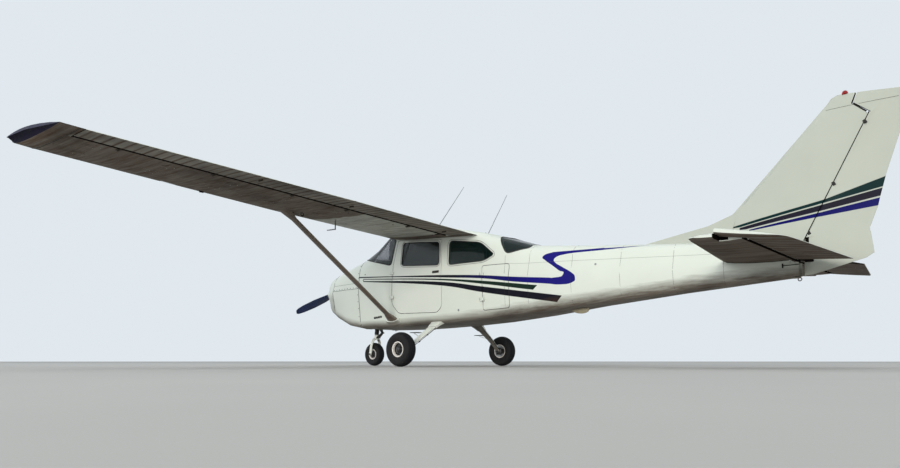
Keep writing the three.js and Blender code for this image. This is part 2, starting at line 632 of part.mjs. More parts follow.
// The tip keeps the wing's section out to a knuckle. From there the lower surface
// slants out and up to a thin rim, whose front corner is rounded off.
const TIP_KNUCKLE_Y = 5432;
const TIP_CROWN = 6; // the upper surface curves down to the rim
const TIP_RIM = {
  frontY: WING_END_Y, rearY: 5440, frontMove: 3.8, chord: 0.915, thick: 6, section: 0.07, drop: 8,
};

function wingTip(s) {
  const inner = frontRing(wingStation(s * (WING_TIP_Y + SEAT_GAP)), 1);
  const atTip = wingStation(s * WING_TIP_Y);
  const reach = (y, fs, chord) => {
    const rise = (y - WING_TIP_Y) * Math.tan(DIHEDRAL);
    return { ...atTip, y: s * y, fs, z: atTip.z + rise, chord };
  };
  const rimAt = reach(TIP_RIM.frontY, WING_TIP_FS + TIP_RIM.frontMove, TIP_RIM.chord * WING_TIP_CHORD);
  const rimStation = { ...rimAt, z: rimAt.z - TIP_RIM.drop, thickness: TIP_RIM.section };
  const rim = frontRing(rimStation, 1).map((p, i, points) => {
    const share = Math.abs(i - CHORD_STEPS) / CHORD_STEPS;
    const q = p.clone();
    q.y = s * lerp(TIP_RIM.frontY, TIP_RIM.rearY, share);
    if (i > CHORD_STEPS) q.z = Math.max(p.z, points[2 * CHORD_STEPS - i].z - TIP_RIM.thick);
    return q;
  });
  const station = reach(TIP_KNUCKLE_Y, WING_TIP_FS + 0.9, 0.975 * WING_TIP_CHORD);
  const knuckle = frontRing(station, 1).map((p, i) => {
    if (i >= CHORD_STEPS) return p;
    const share = (TIP_KNUCKLE_Y - WING_TIP_Y) / (Math.abs(rim[i].y) - WING_TIP_Y);
    return new THREE.Vector3(p.x, p.y, Math.min(p.z, lerp(inner[i].z, rim[i].z, share) + TIP_CROWN));
  });
  return loft([inner, knuckle, rim]);
}

function strutRing([fs, y, z], chord, thick) {
  const points = [];
  const STEPS = 12;
  for (let i = 0; i < STEPS; i += 1) {
    const t = (2 * Math.PI * i) / STEPS;
    points.push(new THREE.Vector3(fsX(fs) + (chord / 2) * Math.cos(t), y, z + (thick / 2) * Math.sin(t)));
  }
  return points;
}

function makeStrut(side, s, wing) {
  const ends = [STRUT.low, STRUT.high].map(([fs, y, z]) => [fs, s * y, z]);
  const lean = Math.atan2(STRUT.high[2] - STRUT.low[2], STRUT.high[1] - STRUT.low[1]);
  const tall = STRUT.thick / Math.cos(lean);
  let strut = loft(ends.map((end) => strutRing(end, STRUT.chord, tall)));
  strut = strut.subtract(wing.translate([0, 0, -SEAT_GAP])).subtract(wing);
  strut = strut.subtract(cabinOuter.translate([0, s * SEAT_GAP, 0])).subtract(cabinOuter);
  addPiece(`strut_${side}`, strut, PAINT);
}

// Tail

const FIN = [
  // z, front fs, rear fs, thickness
  [1180, 205.5, 261.4, 92],
  [1337, 207.5, 261.4, 89],
  [1531, 209.9, 264.4, 86],
  [1620, 211.0, 265.3, 84],
  [1850, 219.9, 267.9, 76],
  [2618.6, 249.4, TAIL_FS, 47],
  [2660, 250.6, TAIL_FS, 42],
  [2694, 253.8, TAIL_FS, 26],
];
const finTop = (fs) => 2686 - 2.583 * (fs - 252.4); // the cap's top slopes down to the rear
const FIN_SHAPE = [
  // share of chord, share of half thickness
  [0, 0.06], [0.03, 0.36], [0.1, 0.66], [0.22, 0.92], [0.38, 1], [0.6, 0.8], [0.8, 0.46], [1, 0.06],
];

// Both sides of a symmetrical section: [station, half thickness] pairs all the way round.
function sectionSides(shape, front, rear, thick, grow = 0) {
  const side = shape.map(([share, t]) => [lerp(front, rear, share), (t * thick) / 2 + grow]);
  return [...side, ...side.slice().reverse().map(([fs, half]) => [fs, -half])];
}

function finVolume() {
  return loft(FIN.map(([z, front, rear, thick]) => sectionSides(FIN_SHAPE, front, rear, thick)
    .map(([fs, y]) => new THREE.Vector3(fsX(fs), y, z))));
}

const hingeFs = (z) => {
  const share = (z - RUDDER_HINGE.lowZ) / (RUDDER_HINGE.highZ - RUDDER_HINGE.lowZ);
  return lerp(RUDDER_HINGE.lowFs, RUDDER_HINGE.highFs, share);
};

const HORN_GAP_FS = 0.36;
const BEACON_FS = 255.6;

function makeFin(tailSkin) {
  const volume = finVolume();
  const nose = { low: 34, high: 24 };
  const hingeBack = (z, extra) => hingeFs(z) - extra / INCH;
  const finOutline = [
    [190, 1150], [hingeBack(1275, 46), 1150], [hingeBack(1275, 46), 1275], [hingeBack(2450, 36), 2450],
    [257.6, 2566], [259.2, finTop(259.2)], [190, finTop(190)],
  ];
  const dorsalOutline = [
    [172, 1350], [172, 1412], [201, 1535], [211.2, 1625], [216, 1710], [225, 1710], [225, 1250],
  ];
  const dorsal = sidePrism(dorsalOutline, -17, 17);
  let fin = volume.intersect(sidePrism(finOutline, -CROSS, CROSS)).add(dorsal);
  fin = fin.subtract(tailSkin.translate([0, 0, SEAT_GAP])).subtract(tailSkin);
  const hingeEnds = [1285, 2448].map((z) => new THREE.Vector3(fsX(hingeFs(z)), 0, z));
  const along = hingeEnds[1].clone().sub(hingeEnds[0]);
  hinges.rudder = hingeEnds;
  [0.12, 0.5, 0.88].forEach((share) => {
    const radius = lerp(nose.low, nose.high, share);
    const centre = hingeEnds[0].clone().lerp(hingeEnds[1], share);
    const corners = [[radius + 20, 0.5], [radius + 20, -0.5], [0.5 * radius, -0.5], [0.5 * radius, 0.5]]
      .map(([ahead, y]) => new THREE.Vector3(centre.x + ahead, y * radius, centre.z));
    fin = fin.add(hingeLug(corners, centre, along, radius));
  });
  addPiece("fin", fin, PAINT);
  const lamp = new THREE.LatheGeometry([[0, -4], [28, -4], [28, 12], [22, 28], [10, 36], [0, 37]]
    .map(([r, z]) => new THREE.Vector2(r, z)), 16);
  lamp.rotateX(Math.PI / 2);
  lamp.translate(fsX(BEACON_FS), 0, finTop(BEACON_FS) + SEAT_GAP);
  addPiece("beacon", solid(lamp).subtract(fin.translate([0, 0, SEAT_GAP])).subtract(fin), RED);

  const rudderLow = 1140;
  const rudderOutline = [
    [hingeFs(1290), 1290], [hingeFs(2452), 2452], [258.0, 2574],
    [259.5, finTop(259.5 + HORN_GAP_FS)], [285, finTop(285)], [285, rudderLow], [hingeFs(1290), rudderLow],
  ].map(([fs, z], i) => (i === 2 || i === 3 ? [fs + HORN_GAP_FS, z] : [fs, z]));
  let rudder = volume.intersect(sidePrism(rudderOutline, -CROSS, CROSS));
  rudder = rudder.add(bar(hingeEnds[0].toArray(), hingeEnds[1].toArray(), nose.low, nose.high, 16));
  const LOWER = [
    // z, front fs, rear fs, thickness
    [1302, 239.2, 261.6, 66],
    [1200, 239.0, 262.0, 60],
    [1095, 238.8, 262.4, 52],
    [1050, 238.4, 259.6, 48],
    [925, 238.0, 241.0, 40],
  ];
  const lowerShape = [[0, 0.35], [0.06, 0.8], [0.25, 1], [0.6, 0.66], [1, 0.1]];
  const lower = loft(LOWER.map(([z, front, rear, thick]) => sectionSides(lowerShape, front, rear, thick)
    .map(([fs, y]) => new THREE.Vector3(fsX(fs), y, z))));
  addPiece("rudder", rudder.subtract(block(200, 300, -200, 200, 900, 1300)).add(lower), PAINT);
}

const TAILPLANE = [
  // y, front fs, rear fs, thickness
  [0, 207.6, 258.9, 88],
  [1560, 217.1, 250.9, 58],
  [1700, 218.4, 249.6, 48],
  [1725, 220.6, 247.6, 26],
];

function tailplaneVolume(grow = 0, shape = FIN_SHAPE, rows = TAILPLANE) {
  const half = rows.slice(1).reverse().map(([y, ...rest]) => [-y, ...rest]);
  const section = (front, rear, thick) => sectionSides(shape, front, rear, thick, grow);
  return loft([...half, ...rows].map(([y, front, rear, thick]) => section(front, rear, thick)
    .map(([fs, z]) => new THREE.Vector3(fsX(fs), y, TAIL_HEIGHT + z))));
}

const STABILIZER_REAR_FS = 234.35;
const TAIL_SKIN = 7;
const HORN_INNER_Y = 1566;
const HORN_FRONT_FS = 227.2;
const ELEVATOR_NOSE = { inner: 31, outer: 22 };

function makeTailplane() {
  const volume = tailplaneVolume();
  const front = [
    [200, -1800], [226.85, -1800], [226.85, -HORN_INNER_Y + 8], [STABILIZER_REAR_FS, -HORN_INNER_Y + 8],
    [STABILIZER_REAR_FS, HORN_INNER_Y - 8], [226.85, HORN_INNER_Y - 8], [226.85, 1800], [200, 1800],
  ];
  const hollowShape = FIN_SHAPE.filter(([share]) => share > 0.05 && share < 0.5);
  const hollow = tailplaneVolume(-TAIL_SKIN, hollowShape, TAILPLANE.slice(0, 2));
  const access = block(216, 228, -30, 30, TAIL_HEIGHT - 80, TAIL_HEIGHT);
  let stabilizer = volume.intersect(planPrism(front, 900, 1300)).subtract(hollow).subtract(access);
  const hingeX = fsX(ELEVATOR_HINGE_FS);
  const hingeAt = (y) => new THREE.Vector3(hingeX, y, TAIL_HEIGHT);
  hinges.elevator = [hingeAt(-TAIL_HALF_SPAN), hingeAt(TAIL_HALF_SPAN)];
  [-1400, -700, -160, 160, 700, 1400].forEach((y) => {
    const radius = lerp(ELEVATOR_NOSE.inner, ELEVATOR_NOSE.outer, (Math.abs(y) - 88) / (HORN_INNER_Y - 88));
    const ahead = fsX(STABILIZER_REAR_FS) - hingeX + 8;
    const corners = [[ahead, 0.5], [ahead, -0.5], [0.5 * radius, -0.5], [0.5 * radius, 0.5]]
      .map(([x, z]) => new THREE.Vector3(hingeX + x, y, TAIL_HEIGHT + z * radius));
    stabilizer = stabilizer.add(hingeLug(corners, hingeAt(y), new THREE.Vector3(0, 1, 0), radius));
  });
  addPiece("stabilizer", stabilizer, PAINT);

  const half = (s) => {
    const outline = [
      [ELEVATOR_HINGE_FS, 88], [ELEVATOR_HINGE_FS, HORN_INNER_Y], [HORN_FRONT_FS, HORN_INNER_Y],
      [HORN_FRONT_FS, 1800], [262, 1800], [262, 262], [257.2, 246], [238.6, 88],
    ].map(([fs, y]) => [fs, s * y]);
    const surface = volume.intersect(planPrism(outline, 900, 1300));
    const axisX = fsX(ELEVATOR_HINGE_FS);
    const { inner, outer } = ELEVATOR_NOSE;
    const nose = bar([axisX, s * 88, TAIL_HEIGHT], [axisX, s * HORN_INNER_Y, TAIL_HEIGHT], inner, outer, 14);
    return surface.add(nose);
  };
  const axisX = fsX(ELEVATOR_HINGE_FS);
  const tube = bar([axisX, -120, TAIL_HEIGHT], [axisX, 120, TAIL_HEIGHT], 15, 15, 14);
  const toHinge = [-axisX, 0, -TAIL_HEIGHT];
  const droop = (body) => body.translate(toHinge)
    .rotate([0, -THREE.MathUtils.radToDeg(ELEVATOR_DROOP), 0]).translate([axisX, 0, TAIL_HEIGHT]);
  let elevator = half(1).add(half(-1)).add(tube);
  const tabOutline = [[251.6, -330], [251.6, -1010], [262, -1010], [262, -330]];
  const tab = elevator.intersect(planPrism(shrinkPlan(tabOutline), 900, 1300));
  elevator = elevator.subtract(planPrism(tabOutline, 900, 1300));
  addPiece("elevator", droop(elevator), PAINT);
  addPiece("trim_tab", droop(tab), PAINT);
}

const shrinkPlan = (outline) => {
  const ys = outline.map(([, y]) => y);
  const [low, high] = [Math.min(...ys), Math.max(...ys)];
  const front = Math.min(...outline.map(([fs]) => fs));
  return outline.map(([fs, y]) => [
    fs === front ? fs + SEAT_GAP / INCH : fs,
    y === low ? y + SEAT_GAP : y === high ? y - SEAT_GAP : y,
  ]);
};

function makeTailCone() {
  const outer = fuselageLoft(FUSELAGE, CABIN_END_FS + SEAT_GAP / INCH, TAIL_CONE_END_FS);
  const inner = fuselageLoft(FUSELAGE, CABIN_END_FS - 3, TAIL_CONE_END_FS - 5, 9);
  const room = tailplaneVolume(SEAT_GAP + 0.2).translate([SEAT_GAP, 0, 0]);
  const slot = room.add(block(215, 240, -90, 90, TAIL_HEIGHT - 20, TAIL_HEIGHT + 20));
  let cone = outer.subtract(inner).subtract(slot.intersect(block(200, 260, -400, 400, 900, 1400)));
  const ring = new THREE.TorusGeometry(17, 5, 8, 16);
  ring.rotateX(Math.PI / 2);
  ring.translate(fsX(TAIL_RING.fs), 0, TAIL_RING.z);
  const tongue = block(TAIL_CONE_END_FS - 1, TAIL_RING.fs + 0.5, -5, 5, TAIL_RING.z + 9, TAIL_RING.z + 23);
  cone = cone.add(tongue).add(solid(ring));
  addPiece("tail_cone", cone, PAINT);
  return outer;
}

// Landing gear

const LEG = [
  // y, z, front fs, rear fs, thickness
  [330, 640, 57.6, 64.4, 22],
  [450, 606, 57.5, 64.3, 22],
  [560, 560, 57.3, 63.9, 21],
  [700, 494, 57.1, 63.2, 20],
  [840, 410, 56.9, 62.4, 19],
  [940, 320, 56.8, 61.4, 18],
  [983, 262, 56.8, 60.6, 17],
  [991.2, 190, 57.0, 60.2, 17],
];

function legRings(s) {
  return LEG.map(([y, z, front, rear, thick], i) => {
    const before = LEG[Math.max(0, i - 1)];
    const after = LEG[Math.min(LEG.length - 1, i + 1)];
    const slope = Math.atan2(after[1] - before[1], after[0] - before[0]);
    const [ny, nz] = [-Math.sin(slope) * (thick / 2), Math.cos(slope) * (thick / 2)];
    return [[front, 1], [rear, 1], [rear, -1], [front, -1]].map(([fs, k]) =>
      new THREE.Vector3(fsX(fs), s * (y + k * ny), z + k * nz));
  });
}

const BRAKE = { face: 1000, discRadius: 84, discIn: -74, discOut: -66 };

function makeMainGear(side, s) {
  const x = fsX(MAIN_AXLE.fs);
  let leg = loft(legRings(s));
  leg = leg.add(block(59.5, 63.4, s > 0 ? 600 : -760, s > 0 ? 760 : -600, 505, 525));
  leg = leg.add(block(60.2, 62.6, s > 0 ? 655 : -700, s > 0 ? 700 : -655, 500, 530));
  leg = leg.subtract(cabinOuter.translate([0, 0, -SEAT_GAP])).subtract(cabinOuter);
  addPiece(`main_leg_${side}`, leg, PAINT);

  const across = (from, to) => (s > 0 ? [from, to] : [-to, -from]);
  const plate = block(56.8, 60.2, ...across(BRAKE.face, BRAKE.face + 8), 168, 276);
  const axleEnds = [BRAKE.face + 2, 1150].map((y) => [x, s * y, MAIN_AXLE.z]);
  const axle = bar(...axleEnds, AXLE_RADIUS, AXLE_RADIUS, 16);
  const caliper = block(60.0, 62.4, ...across(BRAKE.face, BRAKE.face + 12), 196, 252);
  addPiece(`brake_${side}`, plate.add(axle).add(caliper), DARK);

  const centre = [x, s * MAIN_AXLE.y, MAIN_AXLE.z];
  addPiece(`main_tyre_${side}`, wheelLathe(tyreProfile(MAIN_TYRE), centre, WHEEL_SIDES), TYRE);
  addPiece(`main_wheel_${side}`, wheelLathe(mainRim(s), centre, WHEEL_SIDES), PAINT);
}

// Section of a tyre: two walls leaning out to the shoulders and a round tread.
function tyreProfile({ radius, width, rim }) {
  const half = width / 2;
  const wall = 0.62;
  const shoulder = lerp(rim, radius, 0.62);
  const tread = [-0.86, -0.5, 0, 0.5, 0.86].map((share) => [
    shoulder + (radius - shoulder) * Math.sqrt(1 - share ** 2), half * share,
  ]);
  return [[rim, -half * wall], [shoulder - 22, -half], ...tread, [shoulder - 22, half], [rim, half * wall],
    [rim, -half * wall]];
}

function mainRim(s) {
  const outer = MAIN_TYRE.rim - SEAT_GAP;
  const seat = (MAIN_TYRE.width / 2) * 0.62;
  const { discRadius, discIn, discOut } = BRAKE;
  const bore = AXLE_RADIUS + 1;
  const profile = [
    [bore, discIn], [discRadius, discIn], [discRadius, discOut], [46, discOut], [46, -40], [outer - 10, -44],
    [outer, -seat], [outer, seat], [outer - 10, 44], [outer - 20, 28], [40, 34], [34, 52], [bore, 52],
    [bore, discIn],
  ];
  return s > 0 ? profile : profile.map(([r, y]) => [r, -y]).reverse();
}

const steerX = (z) => {
  const share = (z - NOSE_AXLE.z) / (STEER_TOP.z - NOSE_AXLE.z);
  return lerp(fsX(NOSE_AXLE.fs), fsX(STEER_TOP.fs), share);
};

function makeNoseGear() {
  const onAxis = (z) => [steerX(z), 0, z];
  let leg = bar(onAxis(480), onAxis(960), 34, 34, 16);
  leg = leg.subtract(bar(onAxis(470), onAxis(895), 25, 25, 16));
  const upperMount = block(-4.2, FIREWALL_FACE_FS, -60, 60, 900, 950);
  const lowerMount = block(-4.6, FIREWALL_FACE_FS, -70, 70, 640, 680)
    .subtract(bar(onAxis(600), onAxis(720), 33, 33, 20));
  addPiece("nose_leg", leg.add(upperMount).add(lowerMount), DARK);

  const ends = [-1, 1];
  const [ax, az] = [fsX(NOSE_AXLE.fs), NOSE_AXLE.z];
  let fork = bar(onAxis(400), onAxis(880), 24, 24, 16);
  const crown = solid(new THREE.BoxGeometry(84, 212, 34).translate(steerX(404), 0, 404));
  fork = fork.add(crown);
  ends.forEach((s) => {
    const arm = loft([
      [ax, az - 26, 52], [ax, az + 30, 52], [steerX(404), 404, 72], [steerX(404), 420, 72],
    ].map(([x, z, wide]) => [[-1, -1], [1, -1], [1, 1], [-1, 1]].map(([a, b]) =>
      new THREE.Vector3(x + (a * wide) / 2, s * (90 + 7) + b * 7, z))));
    fork = fork.add(arm);
  });
  fork = fork.add(bar([ax, -108, az], [ax, 108, az], 12, 12, 16));
  const LINK = [
    // lower x offset from axis, lower z, upper x offset, upper z, half width
    [-30, 415, -128, 500, 26],
    [-128, 500, -46, 590, 22],
  ];
  LINK.forEach(([xa, za, xb, zb, wide]) => {
    const points = [[xa, za], [xb, zb]].map(([dx, z]) => [steerX(z) + dx, z]);
    fork = fork.add(loft(points.map(([x, z]) => [[-1, -1], [1, -1], [1, 1], [-1, 1]].map(([a, b]) =>
      new THREE.Vector3(x, a * wide, z + b * 9)))));
  });
  const collar = bar(onAxis(572), onAxis(606), 60, 60, 20)
    .subtract(bar(onAxis(565), onAxis(612), 36, 36, 20));
  fork = fork.add(collar);
  addPiece("nose_fork", fork, PAINT);

  const centre = [ax, 0, az];
  addPiece("nose_tyre", wheelLathe(tyreProfile(NOSE_TYRE), centre, WHEEL_SIDES), TYRE);
  const outer = NOSE_TYRE.rim - SEAT_GAP;
  const rim = [
    [13, -64], [34, -64], [38, -26], [outer - 12, -30], [outer, -39], [outer, 39], [outer - 12, 30],
    [38, 26], [34, 64], [13, 64], [13, -64],
  ];
  addPiece("nose_wheel", wheelLathe(rim, centre, WHEEL_SIDES), PAINT);
}

// Cabin fittings

const SEAT = { y: 250, half: 215, fsFront: 35, fsRear: 52, pan: 905 };
const SEAT_LEG = { inner: 95, outer: 345, width: 28, frontFs: 36, rearFs: 51, beam: 700 };
const BENCH = { pan: 880, rise: 20, frontFs: 74.5, rearFs: 91.5, half: 400 };

// The cabin floor between two stations, as outline points just above it.
function floorLine(fsFrom, fsTo) {
  const inside = FUSELAGE.map((row) => row[0]).filter((fs) => fs > fsFrom && fs < fsTo);
  return [fsFrom, ...inside, fsTo].map((fs) => [fs, stationRow(FUSELAGE, fs).low + FLOOR + SEAT_GAP]);
}

function makeSeats() {
  bothSides.forEach(([side, s]) => {
    const [low, high] = [s * SEAT.y - SEAT.half, s * SEAT.y + SEAT.half];
    const { inner, outer, width, frontFs, rearFs, beam } = SEAT_LEG;
    const legOutline = [...floorLine(frontFs, rearFs), [rearFs, SEAT.pan], [rearFs - 1.6, SEAT.pan],
      [rearFs - 2.4, beam], [frontFs + 2.4, beam], [frontFs + 1.6, SEAT.pan], [frontFs, SEAT.pan]];
    const legs = [inner, outer].map((y) => {
      const [from, to] = s > 0 ? [y, y + width] : [-y - width, -y];
      return sidePrism(legOutline, from, to);
    });
    const pan = block(SEAT.fsFront, SEAT.fsRear + 2.6, low, high, SEAT.pan - 24, SEAT.pan);
    const back = sidePrism([[52.4, 884], [54.6, 884], [60.0, 1330], [58.4, 1330]], low + 30, high - 30);
    addPiece(`seat_frame_${side}`, legs[0].add(legs[1]).add(pan).add(back), DARK);
    const top = SEAT.pan + SEAT_GAP;
    const base = sidePrism([[34.4, top], [52.2, top], [52.7, top + 60], [51.0, top + 100], [34.8, top + 118],
      [33.8, top + 60]], low + 5, high - 5);
    const rest = sidePrism([[51.4, top + 70], [52.95, top + 26], [58.8, 1395], [55.8, 1450], [52.6, 1440]],
      low + 5, high - 5);
    const pad = base.add(rest).subtract(back.translate([SEAT_GAP, 0, 0])).subtract(back);
    addPiece(`seat_pad_${side}`, pad, CLOTH);
  });
  const { pan, rise, frontFs, rearFs, half } = BENCH;
  const bench = sidePrism([
    [frontFs, pan], [rearFs, pan + rise], [96.2, 1330], [92.6, 1340], [88.0, pan + 122],
    [frontFs + 0.4, pan + 132],
  ], -half, half);
  const panAt = (fs) => pan - SEAT_GAP + rise * ((fs - frontFs) / (rearFs - frontFs));
  const [boxFront, boxRear] = [frontFs + 1, rearFs - 1];
  const boxOutline = [
    ...floorLine(boxFront, boxRear), [boxRear, panAt(boxRear)], [boxFront, panAt(boxFront)],
  ];
  const box = sidePrism(boxOutline, -half + 75, half - 75);
  addPiece("rear_seat_pad", bench, CLOTH);
  addPiece("rear_seat_frame", box, DARK);
}

function makePanel() {
  const fit = fuselageLoft(FUSELAGE, 3 + SEAT_GAP / INCH, BULKHEAD_FS, WALL + SEAT_GAP, FLOOR + 1, ROOF);
  const shelf = block(2, 20.5, -CROSS, CROSS, 1392, 1416);
  const face = block(16.5, 19.5, -CROSS, CROSS, 1080, 1400);
  addPiece("instrument_panel", shelf.add(face).intersect(fit), DARK);
  bothSides.forEach(([side, s]) => {
    const y = s * 250;
    const shaftStart = fsX(19.5 + SEAT_GAP / INCH);
    let yoke = bar([shaftStart, y, 1240], [fsX(27.5), y, 1240], 12, 12, 12);
    const cross = block(27.1, 27.9, y - 120, y + 120, 1226, 1254);
    const rim = new THREE.TorusGeometry(120, 13, 6, 16);
    rim.rotateY(Math.PI / 2);
    rim.translate(fsX(27.5), y, 1240);
    yoke = yoke.add(solid(rim).intersect(block(20, 30, y - 200, y + 200, 1060, 1300))).add(cross);
    addPiece(`yoke_${side}`, yoke, DARK);
  });
}

const PITOT = { fs: 46.2, y: 1945, z: 1700, top: 1850, tubeFrom: 46.5, tubeTo: 40.2 };

function makeSmallPieces(wingLeft) {
  const { fs, y, z, top, tubeFrom, tubeTo } = PITOT;
  const mast = bar([fsX(fs), y, top], [fsX(fs), y, z], 7, 7, 10);
  const tube = bar([fsX(tubeFrom), y, z], [fsX(tubeTo), y, z + 6], 8, 7, 10);
  const pitot = mast.add(tube).subtract(wingLeft.translate([0, 0, -SEAT_GAP])).subtract(wingLeft);
  addPiece("pitot_tube", pitot, STEEL);

  const ANTENNAS = [
    // name, y, foot fs, top fs, top z
    ["antenna_front", 300, 53.4, 74.3, 2438],
    ["antenna_rear", -300, 70.4, 85.6, 2393],
  ];
  ANTENNAS.forEach(([name, at, from, to, top]) => {
    const start = stationRow(FUSELAGE, from).high - 60;
    const rod = bar([fsX(from), at, start], [fsX(to), at, top], 7, 3.5, 8);
    addPiece(name, rod.subtract(cabinOuter.translate([0, 0, SEAT_GAP])).subtract(cabinOuter), STEEL);
  });
}

makeCabin();
const tailSkin = makeTailCone();
makeCowl();
makeEngine();
makePropeller();
const wings = bothSides.map(([side, s]) => makeWing(side, s));
bothSides.forEach(([side, s], i) => makeStrut(side, s, wings[i]));
makeFin(tailSkin);
makeTailplane();
bothSides.forEach(([side, s]) => makeMainGear(side, s));
makeNoseGear();
makeSeats();
makePanel();
makeSmallPieces(wings[0]);
aircraft.userData.hinges = hinges;

export default aircraft;
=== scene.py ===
# %% [markdown]
# A four-seat high-wing aircraft of painted sheet aluminium, parked on its three wheels. The frame holds every
# piece at its true size and place. This script gives each one the surface of the real one. All lengths are
# metres: +X points to the propeller, +Y to the left wing tip and +Z up from the ground.

# %% Load the frame
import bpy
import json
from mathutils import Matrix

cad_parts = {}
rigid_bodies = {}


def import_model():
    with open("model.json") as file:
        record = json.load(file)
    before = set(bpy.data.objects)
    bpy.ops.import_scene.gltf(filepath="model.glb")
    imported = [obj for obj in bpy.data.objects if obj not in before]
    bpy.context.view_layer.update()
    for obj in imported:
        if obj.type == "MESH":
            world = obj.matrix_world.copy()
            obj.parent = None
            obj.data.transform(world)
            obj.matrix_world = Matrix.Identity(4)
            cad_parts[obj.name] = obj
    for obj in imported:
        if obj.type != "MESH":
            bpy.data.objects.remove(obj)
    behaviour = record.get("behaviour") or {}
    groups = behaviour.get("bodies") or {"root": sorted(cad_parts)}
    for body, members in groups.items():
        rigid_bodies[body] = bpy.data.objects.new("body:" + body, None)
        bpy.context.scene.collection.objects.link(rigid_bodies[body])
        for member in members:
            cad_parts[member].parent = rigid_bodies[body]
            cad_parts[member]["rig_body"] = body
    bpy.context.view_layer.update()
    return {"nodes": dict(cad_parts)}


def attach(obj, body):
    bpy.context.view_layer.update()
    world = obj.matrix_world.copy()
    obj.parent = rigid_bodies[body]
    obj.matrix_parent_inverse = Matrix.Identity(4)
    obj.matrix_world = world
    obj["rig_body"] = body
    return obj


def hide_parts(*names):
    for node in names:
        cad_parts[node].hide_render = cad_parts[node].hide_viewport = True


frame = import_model()

import json
import math
from types import SimpleNamespace

import bmesh
import bpy
from mathutils import Matrix, Vector
from mathutils.bvhtree import BVHTree

# %% [markdown]
# The camera stands almost on the ground, behind and to the left of the aircraft. A lens of 28 mm gives the
# wide look, and the shift keeps the horizon low, as a cropped picture has it.

# %% Camera
scene = bpy.context.scene


def put(name, data):
    made = bpy.data.objects.new(name, data)
    scene.collection.objects.link(made)
    return made


def put_mesh(name, mesh):
    data = bpy.data.meshes.new(name)
    mesh.to_mesh(data)
    mesh.free()
    return put(name, data)


camera = put("camera", bpy.data.cameras.new("camera"))
scene.camera = camera
camera.location = (-4.898, 7.526, 0.072)
yaw, pitch = math.radians(-50.01), math.radians(5.66)
forward = Vector((math.cos(yaw) * math.cos(pitch), math.sin(yaw) * math.cos(pitch), math.sin(pitch)))
camera.rotation_mode = "QUATERNION"
camera.rotation_quaternion = forward.to_track_quat("-Z", "Y")
camera.data.sensor_width = 36
camera.data.lens = 28.02
camera.data.shift_x, camera.data.shift_y = -0.0104, 0.0641
camera.data.clip_start, camera.data.clip_end = 0.02, 500
scene.view_settings.view_transform = "Standard"
print("camera looks", [round(v, 3) for v in forward])

# %% [markdown]
# Colours are written as the hex values of a paint chart and turned to linear light by one function. A second
# function adds any shader node: its inputs come in order or by name, and it gives back one output.

# %% Colour and node helpers
def linear(hex_colour):
    parts = [int(hex_colour[i:i + 2], 16) / 255 for i in (1, 3, 5)]
    return [p / 12.92 if p <= 0.04045 else ((p + 0.055) / 1.055) ** 2.4 for p in parts] + [1]


def add(kind, *inputs, out=0, **settings):
    # a kind in capitals is an operation of the Math node
    node = shading.nodes.new("ShaderNodeMath" if kind.isupper() else "ShaderNode" + kind)
    if kind.isupper():
        node.operation = kind
    for key, value in settings.items():
        setattr(node, key, value)
    named = inputs[0] if inputs and isinstance(inputs[0], dict) else dict(enumerate(inputs))
    for key, value in named.items():
        if isinstance(value, bpy.types.NodeSocket):
            shading.links.new(value, node.inputs[key])
        else:
            node.inputs[key].default_value = value
    return node.outputs[out]


def start_material(name, **sockets):
    # from here on, add works in the node tree of this material
    global shading
    material = bpy.data.materials.new(name)
    material.use_nodes = True
    shading = material.node_tree
    shader = shading.nodes["Principled BSDF"]
    for key, value in sockets.items():
        shader.inputs[key.replace("_", " ")].default_value = value
    return material, shader, add("TexCoord", out="Object")


def connect(shader, **sockets):
    for key, value in sockets.items():
        shading.links.new(value, shader.inputs[key.replace("_", " ")])


# DUST_AND_SHADE and GRIME_AND_SHADE are brown dust darkened further to stand in for the shade under the aircraft:
# dust and painted shade
WHITE, DUST_AND_SHADE, GRIME_AND_SHADE = linear("#D2D6CC"), linear("#4E392B"), linear("#251911")
print("white paint in linear light", [round(v, 3) for v in WHITE])

# %% [markdown]
# The stage is a plain pale floor under a pale sky, with four large soft panels of light. The floor is a
# little darker than the sky, so that the undersides, painted with dust and shade, stay dark, as on a tarmac apron.

# %% Floor and light
floor_mesh = bmesh.new()
bmesh.ops.create_grid(floor_mesh, x_segments=1, y_segments=1, size=120)
floor = put_mesh("floor", floor_mesh)
floor_paint, shader, place = start_material("pale studio floor", Roughness=0.9)
grain = add("TexNoise", {"Vector": place, "Scale": 0.6, "Detail": 3.0}, out="Fac")
shade = add("ValToRGB", grain)
for stop, ink in zip(shade.node.color_ramp.elements, ("#ACA9A4", "#B8B5AF")):
    stop.color = linear(ink)
connect(shader, Base_Color=shade)
floor.data.materials.append(floor_paint)

world = bpy.data.worlds.new("soft sky")
scene.world = world
world.use_nodes = True
world.node_tree.nodes["Background"].inputs["Color"].default_value = linear("#E6EEF4")
world.node_tree.nodes["Background"].inputs["Strength"].default_value = 0.95


def softbox(name, place, target, size, power, colour, spread=180):
    light = bpy.data.lights.new(name, "AREA")
    light.shape, light.size, light.energy, light.color = "DISK", size, power, linear(colour)[:3]
    light.spread = math.radians(spread)
    lamp = put(name, light)
    lamp.location = place
    lamp.rotation_mode = "QUATERNION"
    lamp.rotation_quaternion = (Vector(target) - Vector(place)).to_track_quat("-Z", "Y")


softbox("key light", (-18, 40, 10), (0, 0, 1.2), 13, 1230, "#FFFAF1", 70)
softbox("fill light", (24, 16, 14), (1, 0, 1.2), 12, 1500, "#EAF2FF")
softbox("rim light", (-20, -20, 18), (-1, 0, 1.4), 9, 800, "#F2F6FF")
softbox("low light", (-6, 46, 6), (-1, 0, 0.9), 9, 240, "#F6F8F4", 40)

# %% [markdown]
# Painted lines have crisp edges at places that were measured along the real body. A soft step turns a
# difference of two lengths into a mask, and a curve node carries an edge drawn through points. A picture
# could carry the stripes too, but drawn edges stay sharp at any distance.

